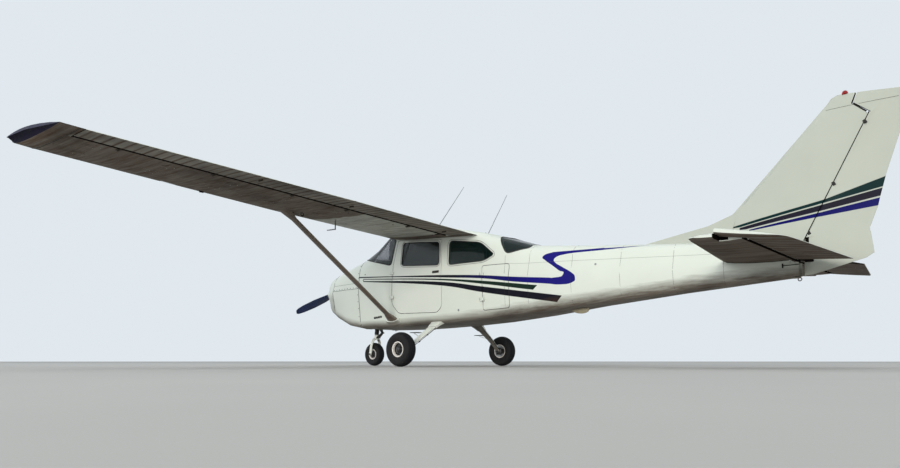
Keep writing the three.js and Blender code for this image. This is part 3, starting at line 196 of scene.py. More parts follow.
# %% Masks from lengths
def step(value, edge, soft=0.0015):
    return add("MapRange", add("SUBTRACT", value, edge), -soft, soft)


def product(*masks):
    result = masks[0]
    for mask in masks[1:]:
        result = add("MULTIPLY", result, mask)
    return result


def drawn(along, points, handle="AUTO_CLAMPED"):
    points = sorted(points)
    (first, last), heights = (points[0][0], points[-1][0]), [h for _, h in points]
    low, high = min(heights) - 0.001, max(heights) + 0.001
    curve_out = add("FloatCurve", {"Value": add("MapRange", along, first, last)})
    curve = curve_out.node.mapping.curves[0]
    spots = [((a - first) / (last - first), (h - low) / (high - low)) for a, h in points]
    curve.points[0].location, curve.points[-1].location = spots[0], spots[-1]
    for spot in spots[1:-1]:
        curve.points.new(*spot)
    for point in curve.points:
        point.handle_type = handle
    curve_out.node.mapping.update()
    return add("MapRange", curve_out, 0, 1, low, high)


def nearest(value, stations):
    gaps = [add("ABSOLUTE", add("SUBTRACT", value, s)) for s in stations]
    best = gaps[0]
    for gap in gaps[1:]:
        best = add("MINIMUM", best, gap)
    return best


def paint_over(mask, below, colour):
    return add("Mix", {0: mask, 6: below, 7: colour}, data_type="RGBA", out=2)


def rivets(across, along, pitch=0.032, radius=0.0035):
    row = add("PINGPONG", along, pitch / 2)
    gap = add("SQRT", add("ADD", *[add("POWER", v, 2.0) for v in (across, row)]))
    return add("MapRange", gap, radius, radius * 0.6)


print("mask helpers ready")

# %% [markdown]
# The skin is sheet aluminium under polyurethane enamel: a hard, slightly wavy gloss with rows of rivets at
# each frame. Dust and oil film gather low down and underneath, drawn out towards the tail by the air, and
# down-facing skin is painted darker still as a painted shade, so the belly is brown. One function builds the
# enamel, and each group of panels adds its own seams, stripes, dirt and painted shade.

# %% Enamel
def enamel(name, seams=(), roughness=0.32, base=WHITE, under=0.9, gloss=1.0):
    material, shader, place = start_material(name, Roughness=roughness, IOR=1.5, Coat_Weight=0.35 * gloss,
                                             Coat_Roughness=0.12, Specular_IOR_Level=0.05 + 0.45 * gloss)
    x, y, z = [add("SeparateXYZ", place, out=i) for i in range(3)]
    side = add("ABSOLUTE", y)
    cloud = add("TexNoise", {"Vector": place, "Scale": 1.3, "Detail": 4.0, "Roughness": 0.6}, out="Fac")
    stretched = add("Mapping", {"Vector": place, "Scale": (1.0, 30.0, 30.0)})
    streak = add("TexNoise", {"Vector": stretched, "Scale": 1.0, "Detail": 5.0, "Roughness": 0.65}, out="Fac")
    tone = add("MapRange", cloud, 0.35, 0.7, 0.0, 0.35)
    colour = paint_over(tone, base, [c * 0.86 for c in base[:3]] + [1])
    down = add("SeparateXYZ", add("TexCoord", out="Normal"), out=2)
    # below marks skin that faces down, where the dust and the painted shade of the underside go
    below = add("MapRange", down, -0.15, -0.75)
    lines = []
    if seams:
        gap = nearest(side, seams)
        row = add("ABSOLUTE", add("SUBTRACT", gap, 0.011))
        lines.append((add("MapRange", gap, 0.0022, 0.0012), rivets(row, x)))
    return SimpleNamespace(material=material, shader=shader, place=place, x=x, z=z, side=side, cloud=cloud,
                           streak=streak, colour=colour, below=below, lines=lines, under=under)


def finish_enamel(e, dirt_and_shade=None, ridges=None):
    worn = add("MapRange", e.streak, 0.3, 0.7, 0.8, 1.0)
    # the film darkens the undersides with dust and with painted shade, in the two dust-and-shade colours
    dust_and_shade_film = product(dirt_and_shade or e.below, worn, e.under)
    colour = paint_over(dust_and_shade_film, e.colour, DUST_AND_SHADE)
    dark = add("MapRange", e.cloud, 0.45, 0.72, 0.0, 0.75)
    colour = paint_over(product(dust_and_shade_film, dark), colour, GRIME_AND_SHADE)
    waves = add("TexNoise", {"Vector": e.place, "Scale": 9.0, "Detail": 1.0}, out="Fac")
    height = add("MULTIPLY", waves, 0.3)
    for seam, rivet in e.lines:
        if seam:
            colour = paint_over(product(seam, 0.6), colour, linear("#3A362F"))
            height = add("ADD", height, product(seam, -1.0))
        colour = paint_over(product(rivet, 0.28), colour, linear("#8C8676"))
        height = add("ADD", height, product(rivet, 0.5))
    if ridges:
        height = add("ADD", height, ridges)
    bump = add("Bump", {"Height": height, "Strength": 0.7, "Distance": 0.002})
    rough = add("MapRange", dust_and_shade_film, 0, 1, e.shader.inputs["Roughness"].default_value, 0.75)
    connect(e.shader, Normal=bump, Base_Color=colour, Roughness=rough)
    return e.material


# these two colours carry painted shade as well as dust
print("dust and grime", DUST_AND_SHADE, GRIME_AND_SHADE)

# %% [markdown]
# Three painted stripes run along the body: the upper one ends in a reversed curve over the tail cone. Their
# edges were measured as points of length and height, and the ends are cut on a slant with masking tape.

# %% Body stripes
UPPER_TOP = [(2.969, 1.329), (2.238, 1.280), (1.252, 1.220), (0.614, 1.170), (0.172, 1.122), (-0.341, 1.076)]
UPPER_LOW = [(2.968, 1.310), (2.238, 1.265), (1.252, 1.186), (0.614, 1.129), (0.173, 1.061), (-0.340, 1.000),
             (-0.430, 0.987), (-0.537, 0.984), (-0.610, 0.998)]
TURN_REAR = [(0.984, -0.537), (0.998, -0.610), (1.034, -0.659), (1.080, -0.655), (1.123, -0.608), (1.195, -0.488),
             (1.265, -0.379), (1.290, -0.362), (1.314, -0.368), (1.347, -0.439), (1.362, -0.560), (1.368, -0.977)]
TURN_FRONT = [(0.984, -0.30), (1.070, -0.341), (1.076, -0.440), (1.090, -0.495), (1.125, -0.510), (1.150, -0.459),
              (1.230, -0.345), (1.307, -0.237), (1.340, -0.205), (1.365, -0.225), (1.388, -0.300), (1.397, -0.400)]
TAPER_TOP = [(-0.30, 1.3975), (-0.60, 1.397), (-0.977, 1.391), (-1.5, 1.380)]
TAPER_LOW = [(-0.30, 1.330), (-0.45, 1.348), (-0.60, 1.362), (-0.977, 1.369), (-1.5, 1.379)]
LOWER_BANDS = [  # colour, where it starts, the lean of its end, top points, low points
    ("#0D2318", 2.864, 1.15, [(2.864, 1.291), (1.252, 1.169), (0.614, 1.099), (-0.160, 0.996)],
     [(2.864, 1.280), (1.252, 1.147), (0.614, 1.059), (-0.099, 0.943), (-0.160, 0.935)]),
    ("#090916", 2.863, 0.93, [(2.863, 1.259), (1.252, 1.126), (0.615, 1.025), (-0.478, 0.853)],
     [(2.863, 1.245), (1.252, 1.075), (0.615, 0.951), (-0.407, 0.777), (-0.478, 0.765)]),
]


def stripe(e, top, low, *ends, handle="AUTO_CLAMPED"):
    # the mask between two drawn edges, with further masks that cut its ends
    return product(step(drawn(e.x, top, handle), e.z),
                   step(e.z, drawn(e.x, low, handle)), *ends)


def body_stripes(e):
    x, z = e.x, e.z
    run = stripe(e, UPPER_TOP, UPPER_LOW, step(x, -0.345), step(2.967, x))
    turn = product(step(x, drawn(z, TURN_REAR)), step(drawn(z, TURN_FRONT), x),
                   step(z, 0.985), step(1.396, z), step(z, drawn(x, UPPER_LOW)))
    taper = stripe(e, TAPER_TOP, TAPER_LOW, step(-0.33, x), step(x, -1.5))
    upper = add("MAXIMUM", add("MAXIMUM", run, turn), taper)
    violet = paint_over(add("MapRange", x, 1.1, -0.1), linear("#0B0A16"), linear("#120C6C"))
    e.colour = paint_over(upper, e.colour, violet)
    for ink, start, lean, top, low in LOWER_BANDS:
        end_x, end_z = top[-1]
        stop = add("ADD", add("MULTIPLY", add("SUBTRACT", end_z, z), lean), end_x)
        mask = stripe(e, top, low, step(x, stop), step(start, x))
        e.colour = paint_over(mask, e.colour, linear(ink))


def darker_belly(e):
    # the sides grow darker below a drawn edge that rises towards the tail, and down-facing skin takes the dust with
    # painted shade of the undersides
    edge = drawn(e.x, [(2.97, 0.57), (2.2, 0.575), (1.2, 0.635), (0.0, 0.74), (-1.2, 0.85), (-2.6, 0.965),
                               (-4.1, 1.03)])
    wavy = add("MapRange", e.streak, 0, 1, -0.05, 0.05)
    low = add("ADD", add("SUBTRACT", edge, e.z), wavy)
    return add("MAXIMUM", add("MapRange", low, -0.075, 0.055), add("MULTIPLY", e.below, 0.9))


fuselage = enamel("fuselage enamel", gloss=0.18)
body_stripes(fuselage)
lap = drawn(fuselage.x, [(0.28, 1.300), (0.120, 1.286), (-0.367, 1.274), (-0.974, 1.253), (-2.9, 1.180)])
away = add("ABSOLUTE", add("SUBTRACT", fuselage.z, lap))
behind = step(0.30, fuselage.x)
fuselage.lines.append((product(behind, add("MapRange", away, 0.0022, 0.0012)),
                       product(behind, rivets(away, fuselage.x))))
fuselage_paint = finish_enamel(fuselage, darker_belly(fuselage))
door = enamel("door enamel", base=linear("#D3D6CD"), gloss=0.18)
body_stripes(door)
door_paint = finish_enamel(door, darker_belly(door))
print("stripes on", fuselage_paint.name, door_paint.name)

# %% [markdown]
# The fin and rudder carry the same three colours as slanted bands, which widen towards the rear edge.

# %% Tail paint
FIN_BANDS = [  # colour, top points, low points
    ("#052526", [(-2.406, 1.493), (-3.296, 1.655), (-3.820, 1.806)],
     [(-2.475, 1.479), (-3.295, 1.622), (-3.802, 1.713)]),
    ("#1B1926", [(-2.474, 1.472), (-3.294, 1.609), (-3.788, 1.700)],
     [(-2.542, 1.449), (-3.254, 1.545), (-3.775, 1.627)]),
    ("#0B0A58", [(-2.575, 1.440), (-3.253, 1.531), (-3.763, 1.610)],
     [(-2.625, 1.430), (-3.236, 1.489), (-3.745, 1.536)]),
]
# the fin's white has a greyer base than the body's white: a painted shade
e = enamel("fin enamel", base=linear("#B3B6AB"), under=0.4, gloss=0.03, roughness=0.4)
for ink, top, low in FIN_BANDS:
    top, low = [p + [(-4.2, p[-1][1] + (p[-1][1] - p[-2][1]) * 0.75)] for p in (top, low)]
    band = stripe(e, top, low, step(max(top[0][0], low[0][0]), e.x), handle="VECTOR")
    e.colour = paint_over(band, e.colour, linear(ink))
tail_paint = finish_enamel(e, product(e.below, 0.5))
print("tail bands", len(FIN_BANDS))

# %% [markdown]
# The wing skins are white above. Underneath they are covered with a film of brown dust, streaked along the
# air flow, and darkened further by painted shade. A lighter patch under the fuel tank is a painted reflection
# of light. Rows of rivets mark every rib and the spars.

# %% Wing paint
RIBS = [0.78, 1.12, 1.45, 1.78, 2.12, 2.46, 2.80, 3.14, 3.48, 3.82, 4.16, 4.50, 4.84, 5.18]
e = enamel("wing enamel", seams=[2.553, 5.283], under=0.97, gloss=0)
spars = add("MINIMUM", nearest(e.x, [1.90, 1.16]), e.x)
e.lines += [(None, rivets(nearest(e.side, RIBS), e.x, 0.036)), (None, rivets(spars, e.side, 0.036))]
# a lighter patch inboard under the tank: a painted reflection of light that takes away some of the painted shade
painted_light_patch = product(step(e.side, 0.72, 0.03), step(2.02, e.side, 0.02), step(e.x, 1.12, 0.03))
light_patch_breakup = add("MapRange", e.streak, 0.35, 0.6, 0.2, 0.7)
less_shade_in_light_patch = add("SUBTRACT", 1.0, product(painted_light_patch, light_patch_breakup))
wing_paint = finish_enamel(e, product(e.below, less_shade_in_light_patch))
tip_paint = finish_enamel(enamel("wing tip enamel", seams=[5.290], under=0.97, gloss=0))
print("wing paint", wing_paint.name, tip_paint.name)

# %% [markdown]
# Flaps, ailerons, elevator and tailplane skins are stiffened by pressed beads across the chord, about 90 mm
# apart. The beads are V-shaped ridges, so a triangle wave along the span lifts the surface. Each bead line is
# also painted darker as painted shade, and on the underside it takes more of the dust and painted shade.

# %% Beaded skins
def beaded(name, pitch, under):
    e = enamel(name, under=under, gloss=0)
    bead = add("MapRange", add("PINGPONG", e.side, pitch / 2), 0.004, 0.016, 1.0, 0.0)
    # a darker grey along each bead: the painted shade of the ridge
    e.colour = paint_over(product(bead, 0.25), e.colour, linear("#8C8676"))
    dirt_and_shade = add("ADD", e.below, product(bead, e.below, 0.25))
    return finish_enamel(e, dirt_and_shade, product(bead, 1.6))


flap_paint = beaded("beaded flap enamel", 0.088, 0.8)
elevator_paint = beaded("beaded elevator enamel", 0.15, 0.97)
# down-facing tailplane and gear skin takes the dust with painted shade of the undersides
tailplane_paint = finish_enamel(enamel("tailplane enamel", seams=[0.55, 1.10], under=0.98, gloss=0))
gear_paint = finish_enamel(enamel("gear enamel", under=0.85, base=linear("#DADCD2"), gloss=0.4))
# the strut gets a darker grey-brown base and always some of the underside film: a painted shade of the wing above
# it, with dust
e = enamel("strut enamel", base=linear("#8A867A"))
shaded_strut_paint = finish_enamel(e, add("MAXIMUM", e.below, 0.45))
print("beaded skins", flap_paint.name, elevator_paint.name)

# %% [markdown]
# The windows are cast acrylic with a green-grey sun tint. From outside they look dark, with a soft sheen. A
# thin closed pane with some see-through is enough here, because real bending of light in 6 mm can't be seen.

# %% Window acrylic
acrylic, shader, place = start_material("tinted cast acrylic", Base_Color=linear("#0A1C1A"), Roughness=0.04,
                                        IOR=1.49, Alpha=0.6)
haze = add("TexNoise", {"Vector": place, "Scale": 5.0, "Detail": 4.0}, out="Fac")
connect(shader, Roughness=add("MapRange", haze, 0, 1, 0.03, 0.14))
print("pane", acrylic.name)

# %% [markdown]
# Tyre rubber is almost black and matt, with brown dust in its grain. Seats are woven wool cloth, and the
# panel is wrinkle-painted aluminium. Steel parts are dark with an oily film, and polished rods are bright
# chrome.

# %% Other finishes
def speckled(name, base, other, scale, roughness, metallic=0.0, bump=0.0003, **sockets):
    material, shader, place = start_material(name, Roughness=roughness, Metallic=metallic, **sockets)
    noise = add("TexNoise", {"Vector": place, "Scale": scale, "Detail": 5.0, "Roughness": 0.6}, out="Fac")
    colour = paint_over(add("MapRange", noise, 0.25, 0.75), linear(base), linear(other))
    rough = add("MapRange", noise, 0, 1, roughness * 0.75, min(1, roughness * 1.25))
    grain = add("Bump", {"Height": noise, "Strength": 0.5, "Distance": bump})
    connect(shader, Base_Color=colour, Roughness=rough, Normal=grain)
    return material


rubber = speckled("vulcanised tyre rubber", "#0A0B10", "#16161A", 60, 0.82, Specular_IOR_Level=0.3)
wall_rubber = speckled("dusty side wall rubber", "#0D0E14", "#211F1E", 26, 0.78, Specular_IOR_Level=0.3)
steel = speckled("oiled dark steel", "#2A2A2C", "#4A443C", 30, 0.45, 0.85)
chrome = speckled("chromed steel rod", "#C9CCD0", "#A9ACAF", 12, 0.12, 1.0, 0.00005)
bright = speckled("bare aluminium", "#A9ABAD", "#85878A", 18, 0.38, 1.0, 0.0001)
casting = speckled("sand-cast aluminium", "#5F6061", "#353433", 70, 0.55, 0.9, 0.0006)
blade = speckled("matt navy blade enamel", "#16254C", "#1B2F5E", 7, 0.42)
plastic = speckled("moulded black plastic", "#141415", "#232325", 90, 0.6)
wrinkle = speckled("wrinkle-finish panel enamel", "#1C1D1F", "#2C2D30", 260, 0.7)
frame_grey = speckled("grey baked enamel", "#6B6E70", "#55585A", 25, 0.45)
lens_red = speckled("moulded red lens", "#B01410", "#8C0E0B", 9, 0.15, Transmission_Weight=0.35)
rim_paint = speckled("wheel enamel", "#E6E1DC", "#C6BEB6", 22, 0.4)
carpet = speckled("loop pile carpet", "#34373D", "#4A4E55", 300, 0.95, 0, 0.0015)
lining = speckled("cabin lining vinyl", "#4B4A45", "#5A5852", 40, 0.7)
sooty = speckled("oily bare sheet metal", "#1E1C1A", "#33302C", 14, 0.6, 0.4)
seal = speckled("extruded black rubber seal", "#141312", "#201E1B", 50, 0.75)
tan_resin = speckled("bare glass-fibre moulding", "#B4A98E", "#9C917A", 20, 0.5)
lens_white = speckled("clear lamp lens", "#DDE4E6", "#C8D0D2", 15, 0.08, Transmission_Weight=0.3)
lens_green = speckled("moulded green lens", "#0E6B3A", "#0B5730", 9, 0.15, Transmission_Weight=0.3)
# brackets under the wing take the underside's brown: dust and painted shade
dusty_shaded = speckled("dust-filmed bracket enamel", "#453F37", "#332E28", 25, 0.8, Specular_IOR_Level=0.1)
navy_trim = speckled("navy trim enamel", "#0B0822", "#120C2E", 9, 0.6, Specular_IOR_Level=0.12)
# a dark matt colour for faces inside gaps: painted shade
gap_shade = speckled("grimy primer in the gaps", "#0E0C0A", "#1A1612", 30, 1.0, Specular_IOR_Level=0.0)
white_trim = speckled("white trim enamel", "#D6D8CE", "#BDBCB0", 11, 0.36)
webbing = speckled("woven nylon webbing", "#25272B", "#34373C", 220, 0.85, 0, 0.0006)
print("plain finishes ready")

# %% [markdown]
# Most frame pieces already have the true form, but they are loose flat triangles. A piece that keeps the form
# is a merged copy, shaded smooth except at its real edges. It could be modelled again by hand, but a copy
# can't drift from the size that was measured.

# %% Skin helpers
BOTH = (("left", 1), ("right", -1))
REBUILT = set()


def body_of(node):
    return frame["nodes"][node]["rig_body"]


def finish_piece(mesh, name, material, body="airframe", angle=35, node=None):
    # a node that the piece stands for is hidden by it
    made = put_mesh(name, mesh)
    made.data.shade_smooth()
    made.data.set_sharp_from_angle(angle=math.radians(angle))
    for m in material if isinstance(material, list) else [material]:
        made.data.materials.append(m)
    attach(made, body)
    if node:
        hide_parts(node)
        REBUILT.add(node)
    return made


def merged_copy(node):
    mesh = bmesh.new()
    mesh.from_mesh(frame["nodes"][node].data)
    bmesh.ops.remove_doubles(mesh, verts=mesh.verts, dist=0.00002)
    return mesh


# %% [markdown]
# Small fittings are made from rods, blocks and turned shapes. Each helper adds one shape to a bmesh, so that
# a whole fitting with its bolts becomes a single piece. Pipes and seals follow a line of points, and a curve
# with a round bevel is the natural tool for those.

# %% Shapes for fittings
def rod(mesh, start, end, radius, tip=None, segments=16):
    start, end = Vector(start), Vector(end)
    place = Matrix.Translation((start + end) / 2) @ (end - start).to_track_quat("Z", "Y").to_matrix().to_4x4()
    return bmesh.ops.create_cone(mesh, cap_ends=True, segments=segments, depth=(end - start).length, radius1=radius,
                                 radius2=radius if tip is None else tip, matrix=place)["verts"]


def boss(mesh, spot, normal, low, high, radius, tip=None, segments=16):
    # a rod that stands on a skin, from the height low to the height high
    rod(mesh, spot + normal * low, spot + normal * high, radius, tip, segments)


def block(mesh, centre, size, turn=None, soft=0.0):
    place = Matrix.Translation(centre) @ (turn or Matrix.Identity(4)) @ Matrix.Diagonal((*size, 1))
    corners = bmesh.ops.create_cube(mesh, size=1, matrix=place)["verts"]
    if soft:
        bmesh.ops.bevel(mesh, geom=list({e for v in corners for e in v.link_edges}), offset=soft, segments=2,
                        affect="EDGES", profile=0.5, material=-1, clamp_overlap=True)


def tilt(degrees, axis="Y"):
    return Matrix.Rotation(math.radians(degrees), 4, axis)


def turned(mesh, profile, centre, axis=(0, 1, 0), steps=64, closed=True):
    # rows of the profile are radius and place along the axis
    points = [mesh.verts.new((radius, along, 0)) for radius, along in profile]
    pairs = list(zip(points, points[1:])) + ([(points[-1], points[0])] if closed else [])
    edges = [mesh.edges.new(pair) for pair in pairs]
    before = set(mesh.verts) - set(points)
    bmesh.ops.spin(mesh, geom=points + edges, cent=(0, 0, 0), axis=(0, 1, 0), angle=math.tau, steps=steps,
                   use_merge=True)
    made = [v for v in mesh.verts if v not in before]
    turn = Vector((0, 1, 0)).rotation_difference(Vector(axis)).to_matrix().to_4x4()
    bmesh.ops.transform(mesh, matrix=Matrix.Translation(centre) @ turn, verts=made)
    bmesh.ops.remove_doubles(mesh, verts=made, dist=0.00005)
    bmesh.ops.recalc_face_normals(mesh, faces=mesh.faces)


def band(mesh, points, shift, thick):
    # a line of points, extruded sideways by what shift gives for each, as a sheet of the given thickness
    row = [mesh.verts.new(p) for p in points]
    edges = [mesh.edges.new(pair) for pair in zip(row, row[1:])]
    for new in bmesh.ops.extrude_edge_only(mesh, edges=edges)["geom"]:
        if isinstance(new, bmesh.types.BMVert):
            new.co += Vector(shift(new.co))
    if thick:
        thicken(mesh, thick)


def thicken(mesh, thick):
    bmesh.ops.recalc_face_normals(mesh, faces=mesh.faces)
    bmesh.ops.solidify(mesh, geom=mesh.faces, thickness=thick)


def pipe(name, points, radius, body="airframe", material=seal, cyclic=False, smooth=False,
         sides=3):
    data = bpy.data.curves.new(name, "CURVE")
    data.dimensions, data.bevel_depth, data.bevel_resolution, data.resolution_u = "3D", radius, sides, 4
    data.use_fill_caps = not cyclic
    line = data.splines.new("BEZIER" if smooth else "POLY")
    spots = line.bezier_points if smooth else line.points
    spots.add(len(points) - 1)
    for spot, point in zip(spots, points):
        spot.co = point if smooth else (*point, 1)
        if smooth:
            spot.handle_left_type = spot.handle_right_type = "AUTO"
    line.use_cyclic_u = cyclic
    data.materials.append(material)
    made = put(name, data)
    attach(made, body)


def x_of(station):
    # stations are inches behind the firewall
    return 0.0254 * (116.85 - station)


print("firewall at x =", round(x_of(0), 3))

# %% [markdown]
# A tyre is turned from one half section: bead, side wall with a raised ring, shoulder and a crowned tread.
# Four grooves round the tread leave the ribs that such tyres have. The walls are browner than the tread.

# %% Tyres
WALL = [(0.0, 0.575), (0.04, 0.66), (0.11, 0.75), (0.215, 0.85), (0.35, 0.94), (0.43, 0.965), (0.445, 0.99),
        (0.47, 0.99), (0.485, 0.975), (0.62, 1.0), (0.72, 0.97), (0.81, 0.89)]
MAIN_RADIUS, NOSE_RADIUS = 0.22225, 0.178
AXLES = {"left": (x_of(58.5), 1.090, MAIN_RADIUS), "right": (x_of(58.5), -1.090, MAIN_RADIUS),
         "nose": (x_of(-6.5), 0, NOSE_RADIUS)}


def tyre(node, centre, radius, half, bead):
    reach = radius - bead
    shoulder = bead + 0.62 * reach
    crown = lambda share: shoulder + (radius - shoulder) * math.sqrt(1 - share ** 2)
    side = [(bead + f * reach, g * half) for f, g in WALL] + [(crown(0.78), 0.78 * half)]
    for groove in (0.56, 0.2):
        side += [(crown(groove + shift) - sunk * 0.05 * reach, (groove + shift) * half)
                 for shift, sunk in ((0.055, 0), (0.038, 1), (-0.038, 1), (-0.055, 0))]
    mesh = bmesh.new()
    turned(mesh, side + [(r, -y) for r, y in reversed(side)], centre, steps=96)
    for face in mesh.faces:
        middle = face.calc_center_median() - Vector(centre)
        face.material_index = int(math.hypot(middle.x, middle.z) < crown(0.8))
    made = finish_piece(mesh, f"{node}_tread", [rubber, wall_rubber], body_of(node), 28, node)
    print(made.name, len(made.data.polygons), "faces")


for name, s in BOTH:
    tyre(f"main_tyre_{name}", AXLES[name], MAIN_RADIUS, 0.080, 0.092)
tyre("nose_tyre", AXLES["nose"], NOSE_RADIUS, 0.0635, 0.074)

# %% [markdown]
# The wheels are cast light alloy in two halves, bolted together. The flange is painted white, and the deep
# middle is dark: brake dust, with a painted shade of the recess. A hub cap covers the bearing, and the steel
# brake disc sits on the inner side.

# %% Wheels
RIM = [(0, 66), (14, 65), (24, 61), (28, 55), (28, 48), (34, 46), (36, 38), (38, 24), (46, 14), (66, 12), (74, 18),
       (79, 34), (83, 51), (86, 59), (92, 62.5), (99, 62), (101, 60), (100, 57), (93, 53), (91, 46), (91, -46),
       (93, -53), (100, -57), (101, -60), (99, -62), (92, -62.5), (86, -58), (83, -40), (78, -24), (52, -20),
       (47, -30), (47, -66), (84, -66), (84, -74), (40, -74), (17, -72), (17, -20), (0, -20)]
NOSE_RIM = [(13, 64), (20, 64), (30, 62), (32, 52), (34, 36), (42, 28), (54, 27), (60, 32), (64, 40), (68, 45),
            (76, 46.5), (80, 45), (80, 42), (74.5, 38), (73, 30)]


def wheel(node, centre, outward, profile, bolt_circle, bolt_depth, faces=(1,)):
    mesh = bmesh.new()
    turned(mesh, [(r / 1000, outward * y / 1000) for r, y in profile], centre, closed=profile is not RIM)
    for face in mesh.faces:
        middle = face.calc_center_median() - Vector(centre)
        # the deep middle is dark cast metal: brake dust, with a painted shade of the recess
        inside = math.hypot(middle.x, middle.z) < (0.077 if profile is RIM else 0.0605)
        disc = profile is RIM and middle.y * outward < -0.064
        face.material_index = 2 if disc else int(inside)
    shell = len(mesh.faces)
    for k in range(6):
        turn = math.tau * k / 6 + 0.3
        at = Vector(centre) + Vector((math.cos(turn) * bolt_circle, 0, math.sin(turn) * bolt_circle))
        for side in faces:
            depth = Vector((0, side * outward, 0))
            boss(mesh, at, depth, bolt_depth - 0.004, bolt_depth + 0.007, 0.0075, segments=6)
            boss(mesh, at, depth, bolt_depth, bolt_depth + 0.013, 0.004, segments=10)
    mesh.faces.ensure_lookup_table()
    for face in mesh.faces[shell:]:
        face.material_index = 2
    finish_piece(mesh, f"{node}_rim", [rim_paint, casting, bright], body_of(node), 30, node)


for name, s in BOTH:
    wheel(f"main_wheel_{name}", AXLES[name], s, RIM, 0.058, 0.012)
wheel("nose_wheel", AXLES["nose"], 1, NOSE_RIM + [(r, -y) for r, y in reversed(NOSE_RIM)], 0.049, 0.027, (1, -1))
print("wheels on", [tuple(round(v, 3) for v in c) for c in AXLES.values()])

# %% [markdown]
# Many fittings lie on the curved skin. A ray cast from outside finds the point of the skin under a place that
# was measured in side view, and the small part is built there, turned to the skin.

# %% Places on the skin
def tree_of(*nodes):
    mesh = bmesh.new()
    for node in nodes:
        mesh.from_mesh(frame["nodes"][node].data)
    found = BVHTree.FromBMesh(mesh)
    mesh.free()
    return found


BODY = tree_of("cabin_body", "tail_cone", "cowl_upper", "cowl_lower", "cowl_nose", "door_left", "door_right",
               "baggage_door")
CONE, FIN, RUDDER, STAB = tree_of("tail_cone"), tree_of("fin"), tree_of("rudder"), tree_of("stabilizer")


def cast(tree, start, way, lift=0.0):
    # the place that a ray meets first and the direction of the skin there, or nothing
    spot, normal = tree.ray_cast(Vector(start), Vector(way))[:2]
    return (spot + normal * lift, normal) if spot else (None, None)


def beside(x, z, s=1, lift=0.0, tree=BODY):
    return cast(tree, (x, s * 1.2, z), (0, -s, 0), lift)


def above(x, y, lift=0.0, tree=BODY, way=-1):
    return cast(tree, (x, y, 1.4 - way * 1.8), (0, 0, way), lift)


def facing(normal):
    return normal.to_track_quat("Z", "Y").to_matrix().to_4x4()


def rims(node, inside):
    # the closed lines where the outer face of a pane or panel turns into its edge
    mesh = merged_copy(node)
    mesh.normal_update()
    outer = lambda f: f.normal.dot((f.calc_center_median() - Vector(inside)).normalized()) > 0.45
    links = {}
    for edge in mesh.edges:
        if len(edge.link_faces) == 2 and outer(edge.link_faces[0]) != outer(edge.link_faces[1]):
            for a, b in (edge.verts, reversed(edge.verts)):
                links.setdefault(tuple(a.co), []).append(tuple(b.co))
    mesh.free()
    loops = []
    while links:
        line = [next(iter(links))]
        while True:
            further = [p for p in links.pop(line[-1], []) if p in links]
            if not further:
                break
            line.append(further[0])
        loops.append([Vector(p) for p in line])
    return [loop for loop in loops if len(loop) > 8]


print("door rims", [len(loop) for loop in rims("door_left", (0.9, 0, 1.2))])

# %% [markdown]
# Each pane sits in a black rubber channel, and the door closes on a rubber seal: both show as thin dark
# lines. A curve with a round bevel along the real edge of the pane makes them, and a thinner line outside it
# is the retainer.

# %% Seals
def grown(loop, distance, inward=0.0):
    # a loop moved outwards from its own middle line, in its own surface, and inward along Y
    middle = sum(loop, Vector()) / len(loop)
    moved = []
    for i, point in enumerate(loop):
        ahead = (loop[(i + 1) % len(loop)] - loop[i - 1]).normalized()
        out = point - middle
        out -= ahead * out.dot(ahead)
        moved.append(point + out.normalized() * distance - Vector((0, inward, 0)))
    return moved


PANES = [(f"door_window_{n}", (0.95, 0, 1.5), f"{n}_door", True) for n, s in BOTH]
PANES += [(f"side_window_{n}", (0.85, 0, 1.5), "airframe", True) for n, s in BOTH]
PANES += [("windscreen", (1.9, 0, 1.45), "airframe", False), ("rear_window", (0.9, 0, 1.35), "airframe", False)]
for node, inside, body, framed in PANES:
    for k, loop in enumerate(rims(node, inside)):
        pipe(f"{node}_seal_{k}", loop, 0.0065, body, cyclic=True)
        if framed:
            ring = [beside(p.x, p.z, 1 if p.y > 0 else -1, 0.0005)[0] for p in grown(loop, 0.022)]
            pipe(f"{node}_retainer_{k}", ring, 0.0026, body, cyclic=True)
for name, s in BOTH:
    rim = rims(f"door_{name}", (0.9, 0, 1.2))[0]
    pipe(f"door_seal_{name}", grown(rim, 0.0035, s * 0.004), 0.0034, cyclic=True)
pipe("baggage_seal", grown(rims("baggage_door", (0.3, 0, 1.1))[0], 0.0035, 0.004), 0.0034, cyclic=True)

# %% [markdown]
# The cowling is held by rows of quarter-turn fasteners along its seams, and the gaps between its panels are
# dark. A seam is a thin line laid on the skin: rays cast towards the middle line find its points, station by
# station.

# %% Cowling seams
BODY_MIDDLE_Z, SPLIT_Z = 1.08, 1.150


def hoop(x, first, last, count, lift=0.0006):
    points = []
    for k in range(count + 1):
        turn = math.radians(first + (last - first) * k / count)
        out = Vector((0, math.sin(turn), -math.cos(turn)))
        points.append(cast(BODY, Vector((x, 0, BODY_MIDDLE_Z)) + out * 2, -out, lift)[0])
    return points


